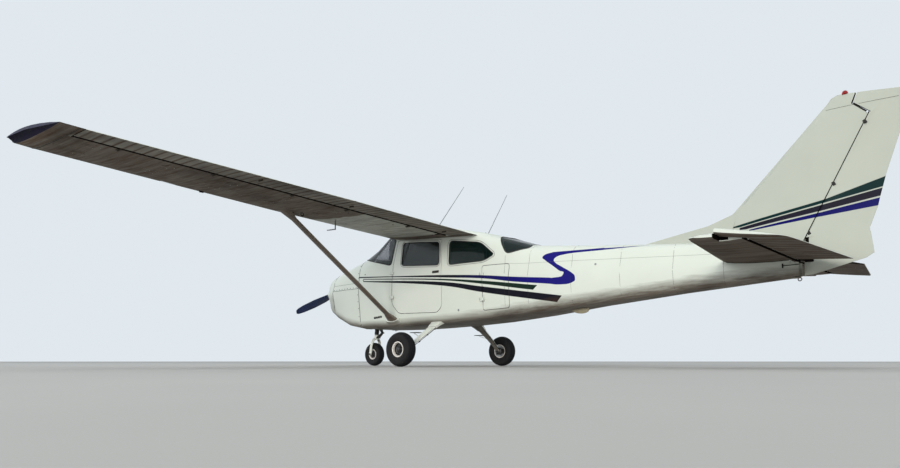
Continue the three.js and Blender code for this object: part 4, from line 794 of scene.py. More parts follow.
pipe("cowl_rear_seam", hoop(x_of(0) - 0.004, 22, 338, 60), 0.0034)
pipe("cowl_cap_seam", hoop(x_of(-27) - 0.003, 0, 358, 60), 0.0022)
studs = bmesh.new()
for name, s in BOTH:
    for z, radius in ((SPLIT_Z + 0.003, 0.0026), (1.236, 0.0016)):
        line = [beside(x_of(-0.4 - 26.4 * k / 20), z, s, 0.0006)[0] for k in range(21)]
        pipe(f"cowl_side_seam_{name}_{round(z * 1000)}", line, radius)
    for k in range(9):
        spot, normal = beside(x_of(-2.2 - 2.9 * k), SPLIT_Z + 0.021, s)
        boss(studs, spot, normal, -0.002, 0.0022, 0.0078, 0.006, 14)
        boss(studs, spot, normal, 0, 0.0032, 0.0032, 0.0026, 6)
for spot in hoop(x_of(0) + 0.022, 30, 330, 26, lift=0):
    boss(studs, spot, (spot - Vector((spot.x, 0, BODY_MIDDLE_Z))).normalized(), -0.003, 0.0022, 0.0078, 0.006, 14)
finish_piece(studs, "cowl_fasteners", steel)
for x in (0.30, -0.03, -0.60, -1.20, -1.80, -2.33):
    pipe(f"frame_seam_{round(x * -1000)}", hoop(x, 12, 348, 56, lift=-0.0004), 0.0015, sides=1)
print("cowl fasteners", 18 + 27)

# %% [markdown]
# Small things on the side of the body: the dark cooling louvre low behind the cowling, the dots where the
# stripes start, door handles with their locks, and the latch of the baggage door.

# %% Side fittings
for name, s in BOTH:
    mesh = bmesh.new()
    for k in range(4):
        spot, normal = beside(2.62 - 0.045 * k, 0.70 + 0.004 * k, s, 0.003)
        block(mesh, spot, (0.034, 0.028, 0.010), facing(normal), 0.003)
    for x, z in ((2.829, 1.351), (2.97, 1.313), (2.865, 1.270)):
        boss(mesh, *beside(x, z, s), -0.002, 0.003, 0.010, 0.008, 14)
    finish_piece(mesh, f"side_vents_{name}", seal)
    mesh = bmesh.new()
    spot, normal = beside(1.392, 1.275, s)
    turn = facing(normal)
    block(mesh, spot + normal * 0.002, (0.120, 0.034, 0.005), turn, 0.002)
    block(mesh, spot + normal * 0.009 + Vector((-0.012, 0, 0)), (0.096, 0.017, 0.010), turn, 0.004)
    boss(mesh, spot + Vector((0.036, 0, 0)), normal, 0, 0.018, 0.009, 0.007)
    spot, normal = beside(1.392, 1.215, s)
    boss(mesh, spot, normal, -0.002, 0.004, 0.011, 0.010, 20)
    boss(mesh, spot, normal, 0, 0.006, 0.006, 0.005, 12)
    finish_piece(mesh, f"door_handle_{name}", steel, f"{name}_door")
spot, normal = beside(0.235, 1.05)
mesh = bmesh.new()
boss(mesh, spot, normal, -0.002, 0.003, 0.026, 0.025, 24)
block(mesh, spot + normal * 0.007, (0.044, 0.010, 0.008), facing(normal), 0.003)
finish_piece(mesh, "baggage_latch", bright, "baggage_door")
print("side fittings ready")

# %% [markdown]
# Where the strut meets the body and the wing it wears a flared cuff of sheet metal. A cone stretched along
# the air flow has that form, and its wide end is cut off by the skin that it meets.

# %% Strut cuffs
def cuff(name, low, axis, start, end, radius, tip, material):
    mesh = bmesh.new()
    start, end = low + axis * start, low + axis * end
    for v in rod(mesh, start, end, radius, tip, segments=28):
        centre = start + axis * (v.co - start).dot(axis)
        v.co.x = centre.x + (v.co.x - centre.x) * 2.5
    finish_piece(mesh, name, material, angle=50)


for name, s in BOTH:
    low, high = Vector((x_of(29.4), s * 0.500, 0.648)), Vector((x_of(37.6), s * 2.600, 1.915))
    axis = (high - low).normalized()
    cuff(f"strut_cuff_low_{name}", low, axis, -0.03, 0.17, 0.047, 0.0215, shaded_strut_paint)
    cuff(f"strut_fairing_low_{name}", low, axis, -0.03, 0.035, 0.062, 0.050, fuselage_paint)
    cuff(f"strut_cuff_high_{name}", high, axis, -0.24, -0.03, 0.0215, 0.040, shaded_strut_paint)
print("strut length", round((high - low).length, 3))

# %% [markdown]
# The underside of the wing carries round inspection covers, the brackets of the flap tracks and aileron
# hinges, and the arms of the push rods. Each tip has a coloured position lamp, and a fuel cap lies on top of
# each wing.

# %% Wing fittings
for name, s in BOTH:
    WING = tree_of(f"wing_{name}", f"wing_tip_{name}")
    FLAP, AILERON = tree_of(f"flap_{name}"), tree_of(f"aileron_{name}")
    covers = bmesh.new()
    for y in (0.95, 1.62, 2.29, 2.97, 3.65, 4.33, 5.01):
        for x in (1.72, 1.38):
            spot, normal = above(x, s * y, 0, WING, 1)
            boss(covers, spot, normal, -0.0004, 0.0012, 0.064, 0.060, 36)
            for k in range(4):
                turn = k * math.pi / 2
                lean = facing(normal) @ Vector((math.cos(turn) * 0.054, math.sin(turn) * 0.054, 0))
                boss(covers, spot + lean, normal, 0, 0.0032, 0.004, 0.003, 8)
    finish_piece(covers, f"inspection_covers_{name}", wing_paint)

    # brackets and arms are coloured like the underside, with dust and painted shade
    brackets = bmesh.new()
    for y, length in ((0.74, 0.10), (1.30, 0.10), (2.30, 0.10), (3.05, 0.07), (3.95, 0.07), (4.85, 0.07)):
        taper = max(0, (y - 2.553) / 2.73)
        spot = above(1.138 + 0.110 * taper + 0.035, s * y, 0, WING, 1)[0]
        block(brackets, spot + Vector((-0.02, 0, -0.003)), (length, 0.006, 0.018), None, 0.002)
        block(brackets, spot + Vector((-0.008, 0, -0.001)), (length * 0.8, 0.034, 0.004), None, 0.001)
        boss(brackets, spot + Vector((-0.05, 0, -0.006)), Vector((0, 1, 0)), -0.009, 0.009, 0.005, segments=10)
    for y in (0.72, 1.45, 2.18):
        boss(brackets, *above(1.28, s * y, 0, WING, 1), 0, 0.004, 0.010, 0.008, 14)
    finish_piece(brackets, f"hinge_brackets_{name}", dusty_shaded)

    for y, tree, piece in ((0.86, FLAP, "flap"), (2.42, FLAP, "flap"), (3.6, AILERON, "aileron")):
        spot = above(0.93, s * y, 0, tree, 1)[0]
        mesh = bmesh.new()
        block(mesh, spot + Vector((0.02, 0, -0.007)), (0.075, 0.005, 0.014), None, 0.002)
        boss(mesh, spot + Vector((0.045, 0, -0.009)), Vector((0, 1, 0)), -0.008, 0.008, 0.005, segments=10)
        finish_piece(mesh, f"{piece}_arm_{name}_{round(y * 100)}", dusty_shaded, f"{name}_{piece}")

    hits = [cast(WING, (0.94 + 0.045 * k, s * 5.278, 0.4), (0, 0, 1), 0.0006)[0] for k in range(28)]
    pipe(f"tip_seam_{name}", [spot for spot in hits if spot], 0.0022, smooth=True)
    at, normal = WING.find_nearest(Vector((2.30, s * 5.40, 2.01)))[:2]
    lamp = bmesh.new()
    ball = bmesh.ops.create_uvsphere(lamp, u_segments=24, v_segments=16, radius=0.018)["verts"]
    place = Matrix.Translation(at - normal * 0.004) @ Matrix.Diagonal((0.9, 1.6, 0.8, 1))
    bmesh.ops.transform(lamp, matrix=place, verts=ball)
    finish_piece(lamp, f"position_lamp_{name}", lens_red if s > 0 else lens_green, angle=60)

    cap = bmesh.new()
    spot, normal = above(1.70, s * 1.15, 0, WING)
    boss(cap, spot, normal, -0.003, 0.004, 0.042, 0.040, 32)
    boss(cap, spot, normal, 0, 0.009, 0.030, 0.027, 28)
    block(cap, spot + normal * 0.012, (0.040, 0.008, 0.008), facing(normal), 0.003)
    finish_piece(cap, f"fuel_cap_{name}", bright)
print("wing tip lamp", [round(v, 3) for v in at])

# %% [markdown]
# The left wing's front edge holds the landing lamp behind a clear lens, and a small stall-warning vane. The
# lens is a grid laid on the edge by rays, so that it follows the curve. The cowling has a small oil door.

# %% Lamp lens, vane, oil door and static ports
WING = tree_of("wing_left")
lens = bmesh.new()
bmesh.ops.create_grid(lens, x_segments=8, y_segments=4, size=1)
missed = []
for v in lens.verts:
    spot = cast(WING, (3, 3.97 + v.co.y * 0.09, 1.966 - v.co.x * 0.034), (-1, 0, 0), 0.0015)[0]
    v.co = spot or v.co
    missed += [] if spot else [v]
bmesh.ops.delete(lens, geom=missed, context="VERTS")
bmesh.ops.delete(lens, geom=[v for v in lens.verts if not v.link_faces], context="VERTS")
thicken(lens, 0.0015)
finish_piece(lens, "landing_lamp_lens", lens_white, angle=40)
hatch = bmesh.new()
spot, normal = above(x_of(-9), -0.180)
block(hatch, spot + normal * 0.001, (0.150, 0.120, 0.004), facing(normal), 0.0015)
for k in (-1, 1):
    boss(hatch, spot + Vector((0.05, 0.04 * k, 0)), normal, 0, 0.006, 0.008, segments=14)
finish_piece(hatch, "oil_door", fuselage_paint)
ports = bmesh.new()
for x, z in ((2.70, 1.02), (1.02, 0.74), (-0.9, 1.20)):
    for name, s in BOTH:
        boss(ports, *beside(x, z, s), -0.002, 0.003, 0.016, 0.013, 20)
finish_piece(ports, "static_ports", bright)
front = cast(WING, (3, 3.60, 1.915), (-1, 0, 0))[0]
vane = bmesh.new()
block(vane, front + Vector((-0.006, 0, -0.004)), (0.016, 0.050, 0.028), None, 0.003)
block(vane, front + Vector((0.008, 0, -0.006)), (0.022, 0.030, 0.003), None, 0.001)
finish_piece(vane, "stall_vane", seal)
print("stall vane", front)

# %% [markdown]
# Under the tail cone hangs a low boat-shaped antenna of bare glass fibre. The whip antennas stand on small
# bases, and the shrouds along the fin and the tail cone narrow the gap to the rudder.

# %% Body and tail fittings
def hinge_x(z):
    # the rudder's hinge line leans back as it rises
    return -3.0326 - 0.5295 * (z - 1.120)


mesh = bmesh.new()
spot = above(-0.52, 0, 0, BODY, 1)[0]
hull = bmesh.ops.create_uvsphere(mesh, u_segments=32, v_segments=20, radius=1)["verts"]
place = Matrix.Translation(spot) @ tilt(-6) @ Matrix.Diagonal((0.130, 0.026, 0.056, 1))
bmesh.ops.transform(mesh, matrix=place, verts=hull)
bmesh.ops.bisect_plane(mesh, geom=mesh.verts[:] + mesh.edges[:] + mesh.faces[:], clear_outer=True,
                       plane_co=spot + Vector((0, 0, 0.012)), plane_no=Vector((0, 0, 1)))
finish_piece(mesh, "belly_antenna", tan_resin, angle=50)

mesh = bmesh.new()
ROOF = tree_of("cabin_body")
for y, fs in ((0.300, 53.4), (-0.300, 70.4)):
    spot, normal = above(x_of(fs), y, 0, ROOF)
    boss(mesh, spot, normal, -0.006, 0.012, 0.028, 0.020, 24)
    boss(mesh, spot, normal, 0, 0.038, 0.011, 0.007)
finish_piece(mesh, "antenna_bases", seal, angle=40)

strips, LOW_Z, HIGH_Z = bmesh.new(), 1.21, 2.44
for name, s in BOTH:
    line = []
    for k in range(25):
        z = LOW_Z + (HIGH_Z - LOW_Z) * k / 24
        spot = cast(FIN, (hinge_x(z) + 0.046 - 0.010 * k / 24 + 0.012, s, z), (0, -s, 0))[0]
        if spot:
            line.append(Vector((spot.x, spot.y + s * 0.0022, z)))
    band(strips, line, lambda p: (-0.037 + 0.007 * (p.z - LOW_Z) / (HIGH_Z - LOW_Z), 0, 0), 0)
thicken(strips, 0.0012)
finish_piece(strips, "fin_shrouds", tail_paint, angle=30)

hinges = bmesh.new()
for z in (1.34, 1.80, 2.36):
    for name, s in BOTH:
        block(hinges, (hinge_x(z) + 0.004, s * 0.033, z), (0.030, 0.006, 0.040), tilt(28), 0.002)
finish_piece(hinges, "rudder_hinge_plates", seal)
sides = bmesh.new()
for name, s in BOTH:
    line = [beside(-2.958, 0.918 + 0.137 * k / 8, s, 0.0012, CONE)[0] for k in range(9)]
    band(sides, line, lambda p: (-0.088, -0.003 if p.y > 0 else 0.003, 0), 0)
thicken(sides, 0.0012)
finish_piece(sides, "cone_shrouds", fuselage_paint, angle=30)
for name, s in BOTH:
    mesh = bmesh.new()
    spot = beside(-2.90, 1.026, s, 0.006, CONE)[0]
    rod(mesh, spot, spot + Vector((-0.155, 0, 0.004)), 0.0042, segments=10)
    block(mesh, spot + Vector((0.002, 0, 0)), (0.014, 0.010, 0.046), None, 0.002)
    finish_piece(mesh, f"rudder_cable_{name}", seal)
    # a dark plate on the rudder stands in for the shade inside the horn's slot
    mesh = bmesh.new()
    block(mesh, beside(-3.135, 1.066, s, 0.002, RUDDER)[0], (0.080, 0.006, 0.030), None, 0.002)
    finish_piece(mesh, f"rudder_horn_slot_{name}", gap_shade, "rudder")
    root = []
    for k in range(24):
        x = -2.36 - 0.60 * k / 23
        low = cast(STAB, (x, beside(x, 1.02, s, 0, CONE)[0].y + s * 0.016, 0.7), (0, 0, 1))[0]
        root += [low + Vector((0, 0, -0.001))] if low else []
    if len(root) > 3:
        pipe(f"tailplane_root_seal_{name}", root, 0.006)
print("tail shrouds", len(line))

# %% [markdown]
# The tips of fin and rudder are moulded caps, and a thin dark seam shows where each is riveted on. A black
# sheet in the gap below the rudder's horn is a painted shade of that gap.

# %% Cap seams and horn gap shade
for node, skin, body, start, end in (("fin", FIN, "airframe", -3.35, -3.61),
                                     ("rudder", RUDDER, "rudder", -3.64, -3.97)):
    for name, s in BOTH:
        stations = [start + (end - start) * k / 14 for k in range(15)]
        hits = [cast(skin, (x, s, 2.550), (0, -s, 0), 0.0004)[0] for x in stations]
        line = [spot for spot in hits if spot]
        pipe(f"{node}_cap_seam_{name}", line, 0.0016, body, smooth=True)
# a black sheet in the gap below the horn: painted shade
gap_shade_sheet = bmesh.new()
block(gap_shade_sheet, (-3.641, 0, 2.516), (0.150, 0.006, 0.020), tilt(-42.3), 0.001)
finish_piece(gap_shade_sheet, "horn_baffle", seal, angle=30)
print("cap seam points", len(line))

# %% [markdown]
# Each main leg is one tapered spring of flat steel. It is lofted through rounded sections, wide at the body
# and slim at the axle, with a sheet metal cuff at its root, a step plate in front and the brake line clamped
# behind.

# %% Main legs
def section(mesh, centre, along, chord, thick):
    # a rounded oblong: the 0.45 power of a circle's coordinates squares it up
    ring = bmesh.ops.create_circle(mesh, cap_ends=False, segments=20, radius=1)["verts"]
    across = Vector((1, 0, 0))
    normal = across.cross(along).normalized()
    for v in ring:
        a, b = [math.copysign(abs(c) ** 0.45, c) for c in (v.co.x, v.co.y)]
        v.co = Vector(centre) + across * a * chord / 2 + normal * b * thick / 2
    return [e for e in mesh.edges if e.verts[0] in ring and e.verts[1] in ring]


def loft(name, rows, body="airframe", node=None):
    mesh = bmesh.new()
    rings = []
    for i, (centre, chord, thick) in enumerate(rows):
        along = Vector(rows[min(i + 1, len(rows) - 1)][0]) - Vector(rows[max(i - 1, 0)][0])
        rings.append(section(mesh, centre, along, chord, thick))
    for a, b in zip(rings, rings[1:]):
        bmesh.ops.bridge_loops(mesh, edges=a + b)
    bmesh.ops.holes_fill(mesh, edges=[e for e in mesh.edges if e.is_boundary], sides=0)
    bmesh.ops.recalc_face_normals(mesh, faces=mesh.faces)
    return finish_piece(mesh, name, gear_paint, body, 40, node)


def link(mesh, start, end, width, thick):
    start, end = Vector(start), Vector(end)
    turn = (end - start).to_track_quat("X", "Z").to_matrix().to_4x4()
    block(mesh, (start + end) / 2, ((end - start).length, width, thick), turn, 0.002)


LEG = [(1.440, 0.33, 0.642, 0.150, 0.030), (1.440, 0.45, 0.577, 0.140, 0.028), (1.444, 0.60, 0.486, 0.120, 0.025),
       (1.452, 0.75, 0.392, 0.098, 0.022), (1.464, 0.87, 0.310, 0.078, 0.020), (1.476, 0.955, 0.245, 0.066, 0.020),
       (1.481, 0.988, 0.205, 0.064, 0.020)]
LEG_CUFF = [(1.440, 0.40, 0.606, 0.215, 0.070), (1.440, 0.47, 0.566, 0.180, 0.050),
            (1.442, 0.545, 0.520, 0.150, 0.036)]
BRAKE_LINE = [(1.378, 0.47, 0.552), (1.384, 0.60, 0.470), (1.398, 0.75, 0.376), (1.420, 0.87, 0.294),
              (1.432, 0.945, 0.250), (1.436, 0.975, 0.236)]
for name, s in BOTH:
    leg = loft(f"spring_leg_{name}", [((x, s * y, z), c, t) for x, y, z, c, t in LEG], node=f"main_leg_{name}")
    loft(f"leg_cuff_{name}", [((x, s * y, z), c, t) for x, y, z, c, t in LEG_CUFF])
    mesh = bmesh.new()
    block(mesh, (1.600, s * 0.690, 0.452), (0.150, 0.085, 0.007), None, 0.002)
    for k in range(7):
        block(mesh, (1.540 + 0.02 * k, s * 0.690, 0.4565), (0.006, 0.075, 0.003), None, 0.0008)
    finish_piece(mesh, f"step_plate_{name}", seal)
    mesh = bmesh.new()
    link(mesh, (1.490, s * 0.655, 0.445), (1.560, s * 0.690, 0.446), 0.020, 0.006)
    link(mesh, (1.490, s * 0.745, 0.394), (1.620, s * 0.700, 0.446), 0.016, 0.006)
    finish_piece(mesh, f"step_bracket_{name}", gear_paint)
    pipe(f"brake_line_{name}", [(x, s * y, z) for x, y, z in BRAKE_LINE], 0.0042, smooth=True)
    mesh = bmesh.new()
    for y, z in ((0.55, 0.510), (0.68, 0.430), (0.82, 0.338)):
        block(mesh, (1.388 + (y - 0.6) * 0.09, s * y, z - 0.010), (0.022, 0.012, 0.020), None, 0.003)
    block(mesh, (1.440, s * 0.985, 0.222), (0.060, 0.034, 0.075), None, 0.008)
    for z in (0.200, 0.244):
        rod(mesh, (1.440, s * 0.962, z), (1.440, s * 1.012, z), 0.007, segments=8)
    rod(mesh, (1.482, s * 0.955, 0.222), (1.482, s * 1.02, 0.222), 0.024, 0.022, 20)
    finish_piece(mesh, f"brake_fittings_{name}", casting)
print("spring leg", [round(v, 3) for v in leg.dimensions])

# %% [markdown]
# The nose gear is a telescopic strut. A forged fork holds the wheel, the chromed piston slides in the
# cylinder, and two scissor links behind it stop it turning. Bolts and a small damper complete it.

# %% Nose gear
LEAN = 0.1389  # metres forward for each metre down


def at(z, back=0.0, y=0.0):
    # a place on the leaning strut, or behind it
    return Vector((3.0467 + (0.800 - z) * LEAN - back, y, z))


ARM = [(0.160, 0.0900, 0.046, 0.013), (0.200, 0.0905, 0.050, 0.015), (0.300, 0.0890, 0.046, 0.018),
       (0.362, 0.0780, 0.048, 0.022), (0.402, 0.0520, 0.052, 0.026), (0.425, 0.0150, 0.056, 0.030),
       (0.428, -0.004, 0.056, 0.030)]
for name, s in BOTH:
    loft(f"fork_arm_{name}", [(at(z, 0, s * y), chord, thick) for z, y, chord, thick in ARM], "nose_fork",
         "nose_fork" if s < 0 else None)
mesh = bmesh.new()
rod(mesh, at(0.405), at(0.470), 0.036, 0.031, 28)
rod(mesh, at(0.470), at(0.484), 0.031, 0.027, 28)
finish_piece(mesh, "fork_socket", gear_paint, "nose_fork")
mesh = bmesh.new()
rod(mesh, at(0.470), at(0.584), 0.0235, segments=28)
finish_piece(mesh, "oleo_piston", chrome, "nose_fork")
mesh = bmesh.new()
rod(mesh, at(0.562), at(0.612), 0.056, 0.054, 32)
for k in range(6):
    turn = math.tau * k / 6
    spot = at(0.612) + Vector((math.cos(turn) * 0.045, math.sin(turn) * 0.045, 0))
    boss(mesh, spot, Vector((0, 0, 1)), 0, 0.006, 0.006, segments=6)
finish_piece(mesh, "steering_collar", steel, "nose_fork")
mesh = bmesh.new()
low, knee, high, ACROSS = at(0.432, 0.040), at(0.505, 0.125), at(0.588, 0.062), Vector((0, 1, 0))
for s in (-1, 1):
    link(mesh, low + ACROSS * s * 0.024, knee + ACROSS * s * 0.011, 0.009, 0.026)
    link(mesh, knee + ACROSS * s * 0.011, high + ACROSS * s * 0.024, 0.009, 0.026)
for spot, half in ((low, 0.036), (knee, 0.026), (high, 0.036)):
    boss(mesh, spot, ACROSS, -half, half, 0.008, segments=14)
    boss(mesh, spot, ACROSS, -half - 0.006, -half, 0.011, segments=6)
axle = Vector((3.1331, 0, NOSE_RADIUS))
boss(mesh, axle, ACROSS, -0.104, 0.104, 0.011, segments=18)
for s in (-1, 1):
    boss(mesh, axle, ACROSS, s * 0.097, s * 0.103, 0.018, 0.016, 6)
finish_piece(mesh, "scissor_links", steel, "nose_fork")
mesh = bmesh.new()
for s in (-1, 1):
    rod(mesh, at(0.650, 0.036, s * 0.030), (2.875, s * 0.120, 0.575), 0.009, segments=14)
    rod(mesh, (2.875, s * 0.120, 0.575), (2.840, s * 0.126, 0.566), 0.015, 0.012, 14)
rod(mesh, at(0.640, 0.052, -0.085), at(0.640, 0.052, 0.030), 0.016, segments=18)
rod(mesh, at(0.640, 0.052, 0.030), at(0.640, 0.052, 0.075), 0.006, segments=12)
for z in (0.655, 0.920):
    block(mesh, at(z, 0.040), (0.070, 0.110, 0.018), None, 0.004)
finish_piece(mesh, "steering_rods", steel)
pipe("drain_tube", [(2.905, -0.210, 0.640), (2.900, -0.214, 0.560), (2.885, -0.218, 0.535)], 0.007,
     material=bright, smooth=True)
pipe("breather_tube", [(2.925, 0.160, 0.640), (2.920, 0.163, 0.550), (2.905, 0.166, 0.520)], 0.009,
     material=steel, smooth=True)
print("nose gear axis leans", round(math.degrees(math.atan(LEAN)), 1), "degrees")

# %% [markdown]
# The two-blade propeller is a forging of light alloy under matt enamel. Six bolts clamp it behind the
# spinner, whose edge lies on a polished back plate. The intakes behind it show the fins of the front
# cylinders.

# %% Propeller and intakes
HUB = Vector((x_of(-39.2), 0, 1.200))
AHEAD = Vector((1, 0, 0))


def round_hub(turn, radius, back):
    return HUB + Vector((-back, math.cos(turn) * radius, math.sin(turn) * radius))


mesh = bmesh.new()
for k in range(6):
    boss(mesh, round_hub(math.tau * k / 6 + 0.2, 0.050, 0.046), AHEAD, 0, 0.012, 0.009, segments=6)
finish_piece(mesh, "propeller_bolts", bright, "propeller")
mesh = bmesh.new()
turned(mesh, [(0.143, 0.0), (0.1445, -0.003), (0.1445, -0.010), (0.139, -0.014), (0.060, -0.014), (0.060, 0.0)],
       HUB - AHEAD * 0.030, AHEAD, 72)
finish_piece(mesh, "spinner_plate", chrome, "propeller")
studs = bmesh.new()
for k in range(10):
    turn = math.tau * k / 10
    out = Vector((0, math.cos(turn), math.sin(turn)))
    boss(studs, round_hub(turn, 0.1425, 0.022), out, -0.002, 0.002, 0.005, 0.004, 10)
finish_piece(studs, "spinner_screws", steel, "propeller")
baffles = bmesh.new()
for name, s in BOTH:
    for k in range(11):
        block(baffles, (x_of(-30.5), s * 0.225, 1.150 + 0.010 * k), (0.030, 0.150, 0.0022))
    block(baffles, (x_of(-29.6), s * 0.225, 1.200), (0.004, 0.170, 0.118), None, 0.001)
finish_piece(baffles, "cylinder_fins", casting)
print("propeller fittings at x =", round(HUB.x, 3))

# %% [markdown]
# The seats are foam pads in woven wool cloth. A cloth simulation blows each pad up a little against its
# seams, which gives the soft crown that a bevelled block lacks. The seams are round piping, laid on after the
# simulation. Both front seats share one pair of simulated pads, because they come from the same mould.

# %% Seat cloth
seat_cloth, shader, place = start_material("woven wool seat cloth", Roughness=0.95, Specular_IOR_Level=0.25,
                                           Sheen_Weight=0.3, Sheen_Roughness=0.5)
x, y, z = [add("SeparateXYZ", place, out=i) for i in range(3)]
# the real threads are 0.8 mm apart: 4 mm is the finest that shows at this distance
warp = add("PINGPONG", y, 0.002)
weft = add("PINGPONG", add("ADD", x, z), 0.002)
weave = add("MULTIPLY", add("ADD", warp, weft), 250.0)
channel = add("MapRange", add("PINGPONG", add("ADD", y, 0.035), 0.0475), 0.0, 0.006)
wear = add("TexNoise", {"Vector": place, "Scale": 7.0, "Detail": 5.0}, out="Fac")
tone = paint_over(wear, linear("#33373F"), linear("#484D57"))
tone = paint_over(product(weave, 0.35), tone, linear("#5A606B"))
# the channels are painted darker than the cloth: a painted shade in the stitched grooves
tone = paint_over(add("SUBTRACT", 1.0, channel), tone, linear("#202329"))
height = add("ADD", product(weave, 0.2), product(channel, 2.0))
connect(shader, Base_Color=tone, Normal=add("Bump", {"Height": height, "Strength": 0.6, "Distance": 0.002}))
print("seat cloth ready")

# %% Padded seats
CAP, PRESSURE = 0.022, 4.0


def apply_modifier(made, modifier):
    with bpy.context.temp_override(object=made, active_object=made):
        bpy.ops.object.modifier_apply(modifier=modifier.name)


def cushion(name, centre, size, turn=None, voxel=0.009):
    mesh = bmesh.new()
    block(mesh, centre, [v - 0.024 for v in size], turn, 0.022)
    made = put_mesh(name, mesh)
    made.data.materials.append(seat_cloth)
    remesh = made.modifiers.new("even skin", "REMESH")
    remesh.mode, remesh.voxel_size = "VOXEL", voxel
    bpy.context.view_layer.objects.active = made
    apply_modifier(made, remesh)
    before = [v.co.copy() for v in made.data.vertices]
    cloth = made.modifiers.new("foam pressure", "CLOTH")
    cloth.settings.use_pressure, cloth.settings.uniform_pressure_force = True, PRESSURE
    cloth.settings.effector_weights.gravity = 0
    cloth.settings.quality = 5
    for frame_number in range(1, 21):
        scene.frame_set(frame_number)
    seen = made.evaluated_get(bpy.context.evaluated_depsgraph_get())
    moved = [v.co.copy() for v in seen.data.vertices]
    made.modifiers.remove(cloth)
    for vertex, old, new in zip(made.data.vertices, before, moved):
        shift = new - old
        vertex.co = old + shift * min(1.0, CAP / max(shift.length, 1e-6))
    scene.frame_set(1)
    smooth = made.modifiers.new("soft surface", "SUBSURF")
    smooth.levels = smooth.render_levels = 1
    apply_modifier(made, smooth)
    made.data.shade_smooth()
    return made


def declare_pad(made):
    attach(made, "airframe")


def moved_copy(made, name, shift):
    twin = put(name, made.data.copy())
    twin.data.transform(Matrix.Translation(shift))
    return twin


def welt(name, centre, size, turn=None):
    # piping round a pad: a closed rounded line near half its height
    half_x, half_y = size[0] / 2 - 0.0145, size[1] / 2 - 0.0145
    corner, points = 0.026, []
    for quarter, (sx, sy) in enumerate(((1, 1), (-1, 1), (-1, -1), (1, -1))):
        for k in range(5):
            a = math.radians(90 * quarter + 22.5 * k)
            points.append(Vector((sx * (half_x - corner) + corner * math.cos(a),
                                  sy * (half_y - corner) + corner * math.sin(a), size[2] * 0.16)))
    place = Matrix.Translation(centre) @ (turn or Matrix.Identity(4))
    pipe(name, [place @ p for p in points], 0.0045, cyclic=True)


SEAT_Y = 0.250
RECLINE = tilt(-72)
BASE = ((1.865, SEAT_Y, 0.964), (0.440, 0.415, 0.104))
REST = ((1.592, SEAT_Y, 1.222), (0.400, 0.395, 0.080))
base = cushion("seat_base_left", *BASE)
rest = cushion("seat_rest_left", *REST, turn=RECLINE)
for made, (centre, size), turn in ((base, BASE, None), (rest, REST, RECLINE)):
    other = moved_copy(made, made.name.replace("left", "right"), (0, -2 * SEAT_Y, 0))
    for pad, (name, s) in zip((made, other), BOTH):
        declare_pad(pad)
        welt(f"{pad.name}_piping", (centre[0], s * SEAT_Y, centre[2]), size, turn)
        if made is base:
            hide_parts(f"seat_pad_{name}")
BENCH_BASE = ((0.855, 0, 0.952), (0.400, 0.785, 0.112))
bench = cushion("rear_bench_base", *BENCH_BASE, voxel=0.011)
bench_rest = cushion("rear_bench_rest", (0.600, 0, 1.168), (0.340, 0.785, 0.095), tilt(-74), 0.011)
for pad in (bench, bench_rest):
    declare_pad(pad)
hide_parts("rear_seat_pad")
welt("rear_bench_piping", *BENCH_BASE)
REBUILT |= {"seat_pad_left", "seat_pad_right", "rear_seat_pad"}
print("pads", [len(p.data.polygons) for p in (base, rest, bench, bench_rest)])

# %% [markdown]
# The panel is sheet aluminium in wrinkle finish with round flight instruments: a bezel ring, a dark face,
# white ticks and a pointer. The radios are plain boxes with knobs, and no lettering is needed for what they
# are.

# %% Instrument panel
PANEL_X = x_of(19.5) - 0.0012
dials, faces, marks = bmesh.new(), bmesh.new(), bmesh.new()
CLOCKS = [(0.155 + 0.093 * i, 1.335 - 0.092 * j, 0.040) for i in range(4) for j in range(2)]
CLOCKS += [(-0.235 - 0.070 * i, 1.345, 0.028) for i in range(3)]
CLOCKS += [(0.160 + 0.06 * i, 1.165, 0.020) for i in range(4)]
for y, z, radius in CLOCKS:
    turned(dials, [(radius, 0.0), (radius + 0.004, 0.001), (radius + 0.005, 0.005), (radius, 0.006),
                   (radius - 0.003, 0.003), (radius - 0.003, 0.0)], (PANEL_X, y, z), (-1, 0, 0), 28)
    rod(faces, (PANEL_X + 0.002, y, z), (PANEL_X - 0.002, y, z), radius - 0.003, segments=28)
    for k in range(12):
        turn = math.tau * k / 12
        inner, outer = radius * (0.72 if k % 3 else 0.66), radius * 0.86
        middle = (inner + outer) / 2
        block(marks, (PANEL_X - 0.0026, y + math.cos(turn) * middle, z + math.sin(turn) * middle),
              (0.0008, outer - inner, 0.0022), Matrix.Rotation(turn, 4, "X"))
    aim = y * 9 + z * 5
    block(marks, (PANEL_X - 0.0036, y + math.cos(aim) * radius * 0.25, z + math.sin(aim) * radius * 0.25),
          (0.0008, radius * 0.62, 0.003), Matrix.Rotation(aim, 4, "X"))
finish_piece(dials, "dial_bezels", plastic)
finish_piece(faces, "dial_faces", seal)
finish_piece(marks, "dial_marks", white_trim)
mesh = bmesh.new()
for k in range(4):
    z = 1.345 - 0.050 * k
    block(mesh, (PANEL_X - 0.004, -0.050, z), (0.014, 0.158, 0.044), None, 0.003)
    for y in (-0.115, 0.015):
        rod(mesh, (PANEL_X - 0.008, y, z), (PANEL_X - 0.026, y, z), 0.009, 0.008, 18)
for y, length in ((0.020, 0.055), (-0.020, 0.050), (-0.060, 0.045)):
    rod(mesh, (PANEL_X, y, 1.118), (PANEL_X - length, y, 1.118), 0.004, segments=12)
    rod(mesh, (PANEL_X - length, y, 1.118), (PANEL_X - length - 0.016, y, 1.118), 0.013, 0.011, 18)
for k in range(7):
    block(mesh, (PANEL_X - 0.004, 0.36 - 0.026 * k, 1.115), (0.014, 0.008, 0.018), None, 0.002)
finish_piece(mesh, "radios_and_knobs", plastic)
print("dials", len(CLOCKS))

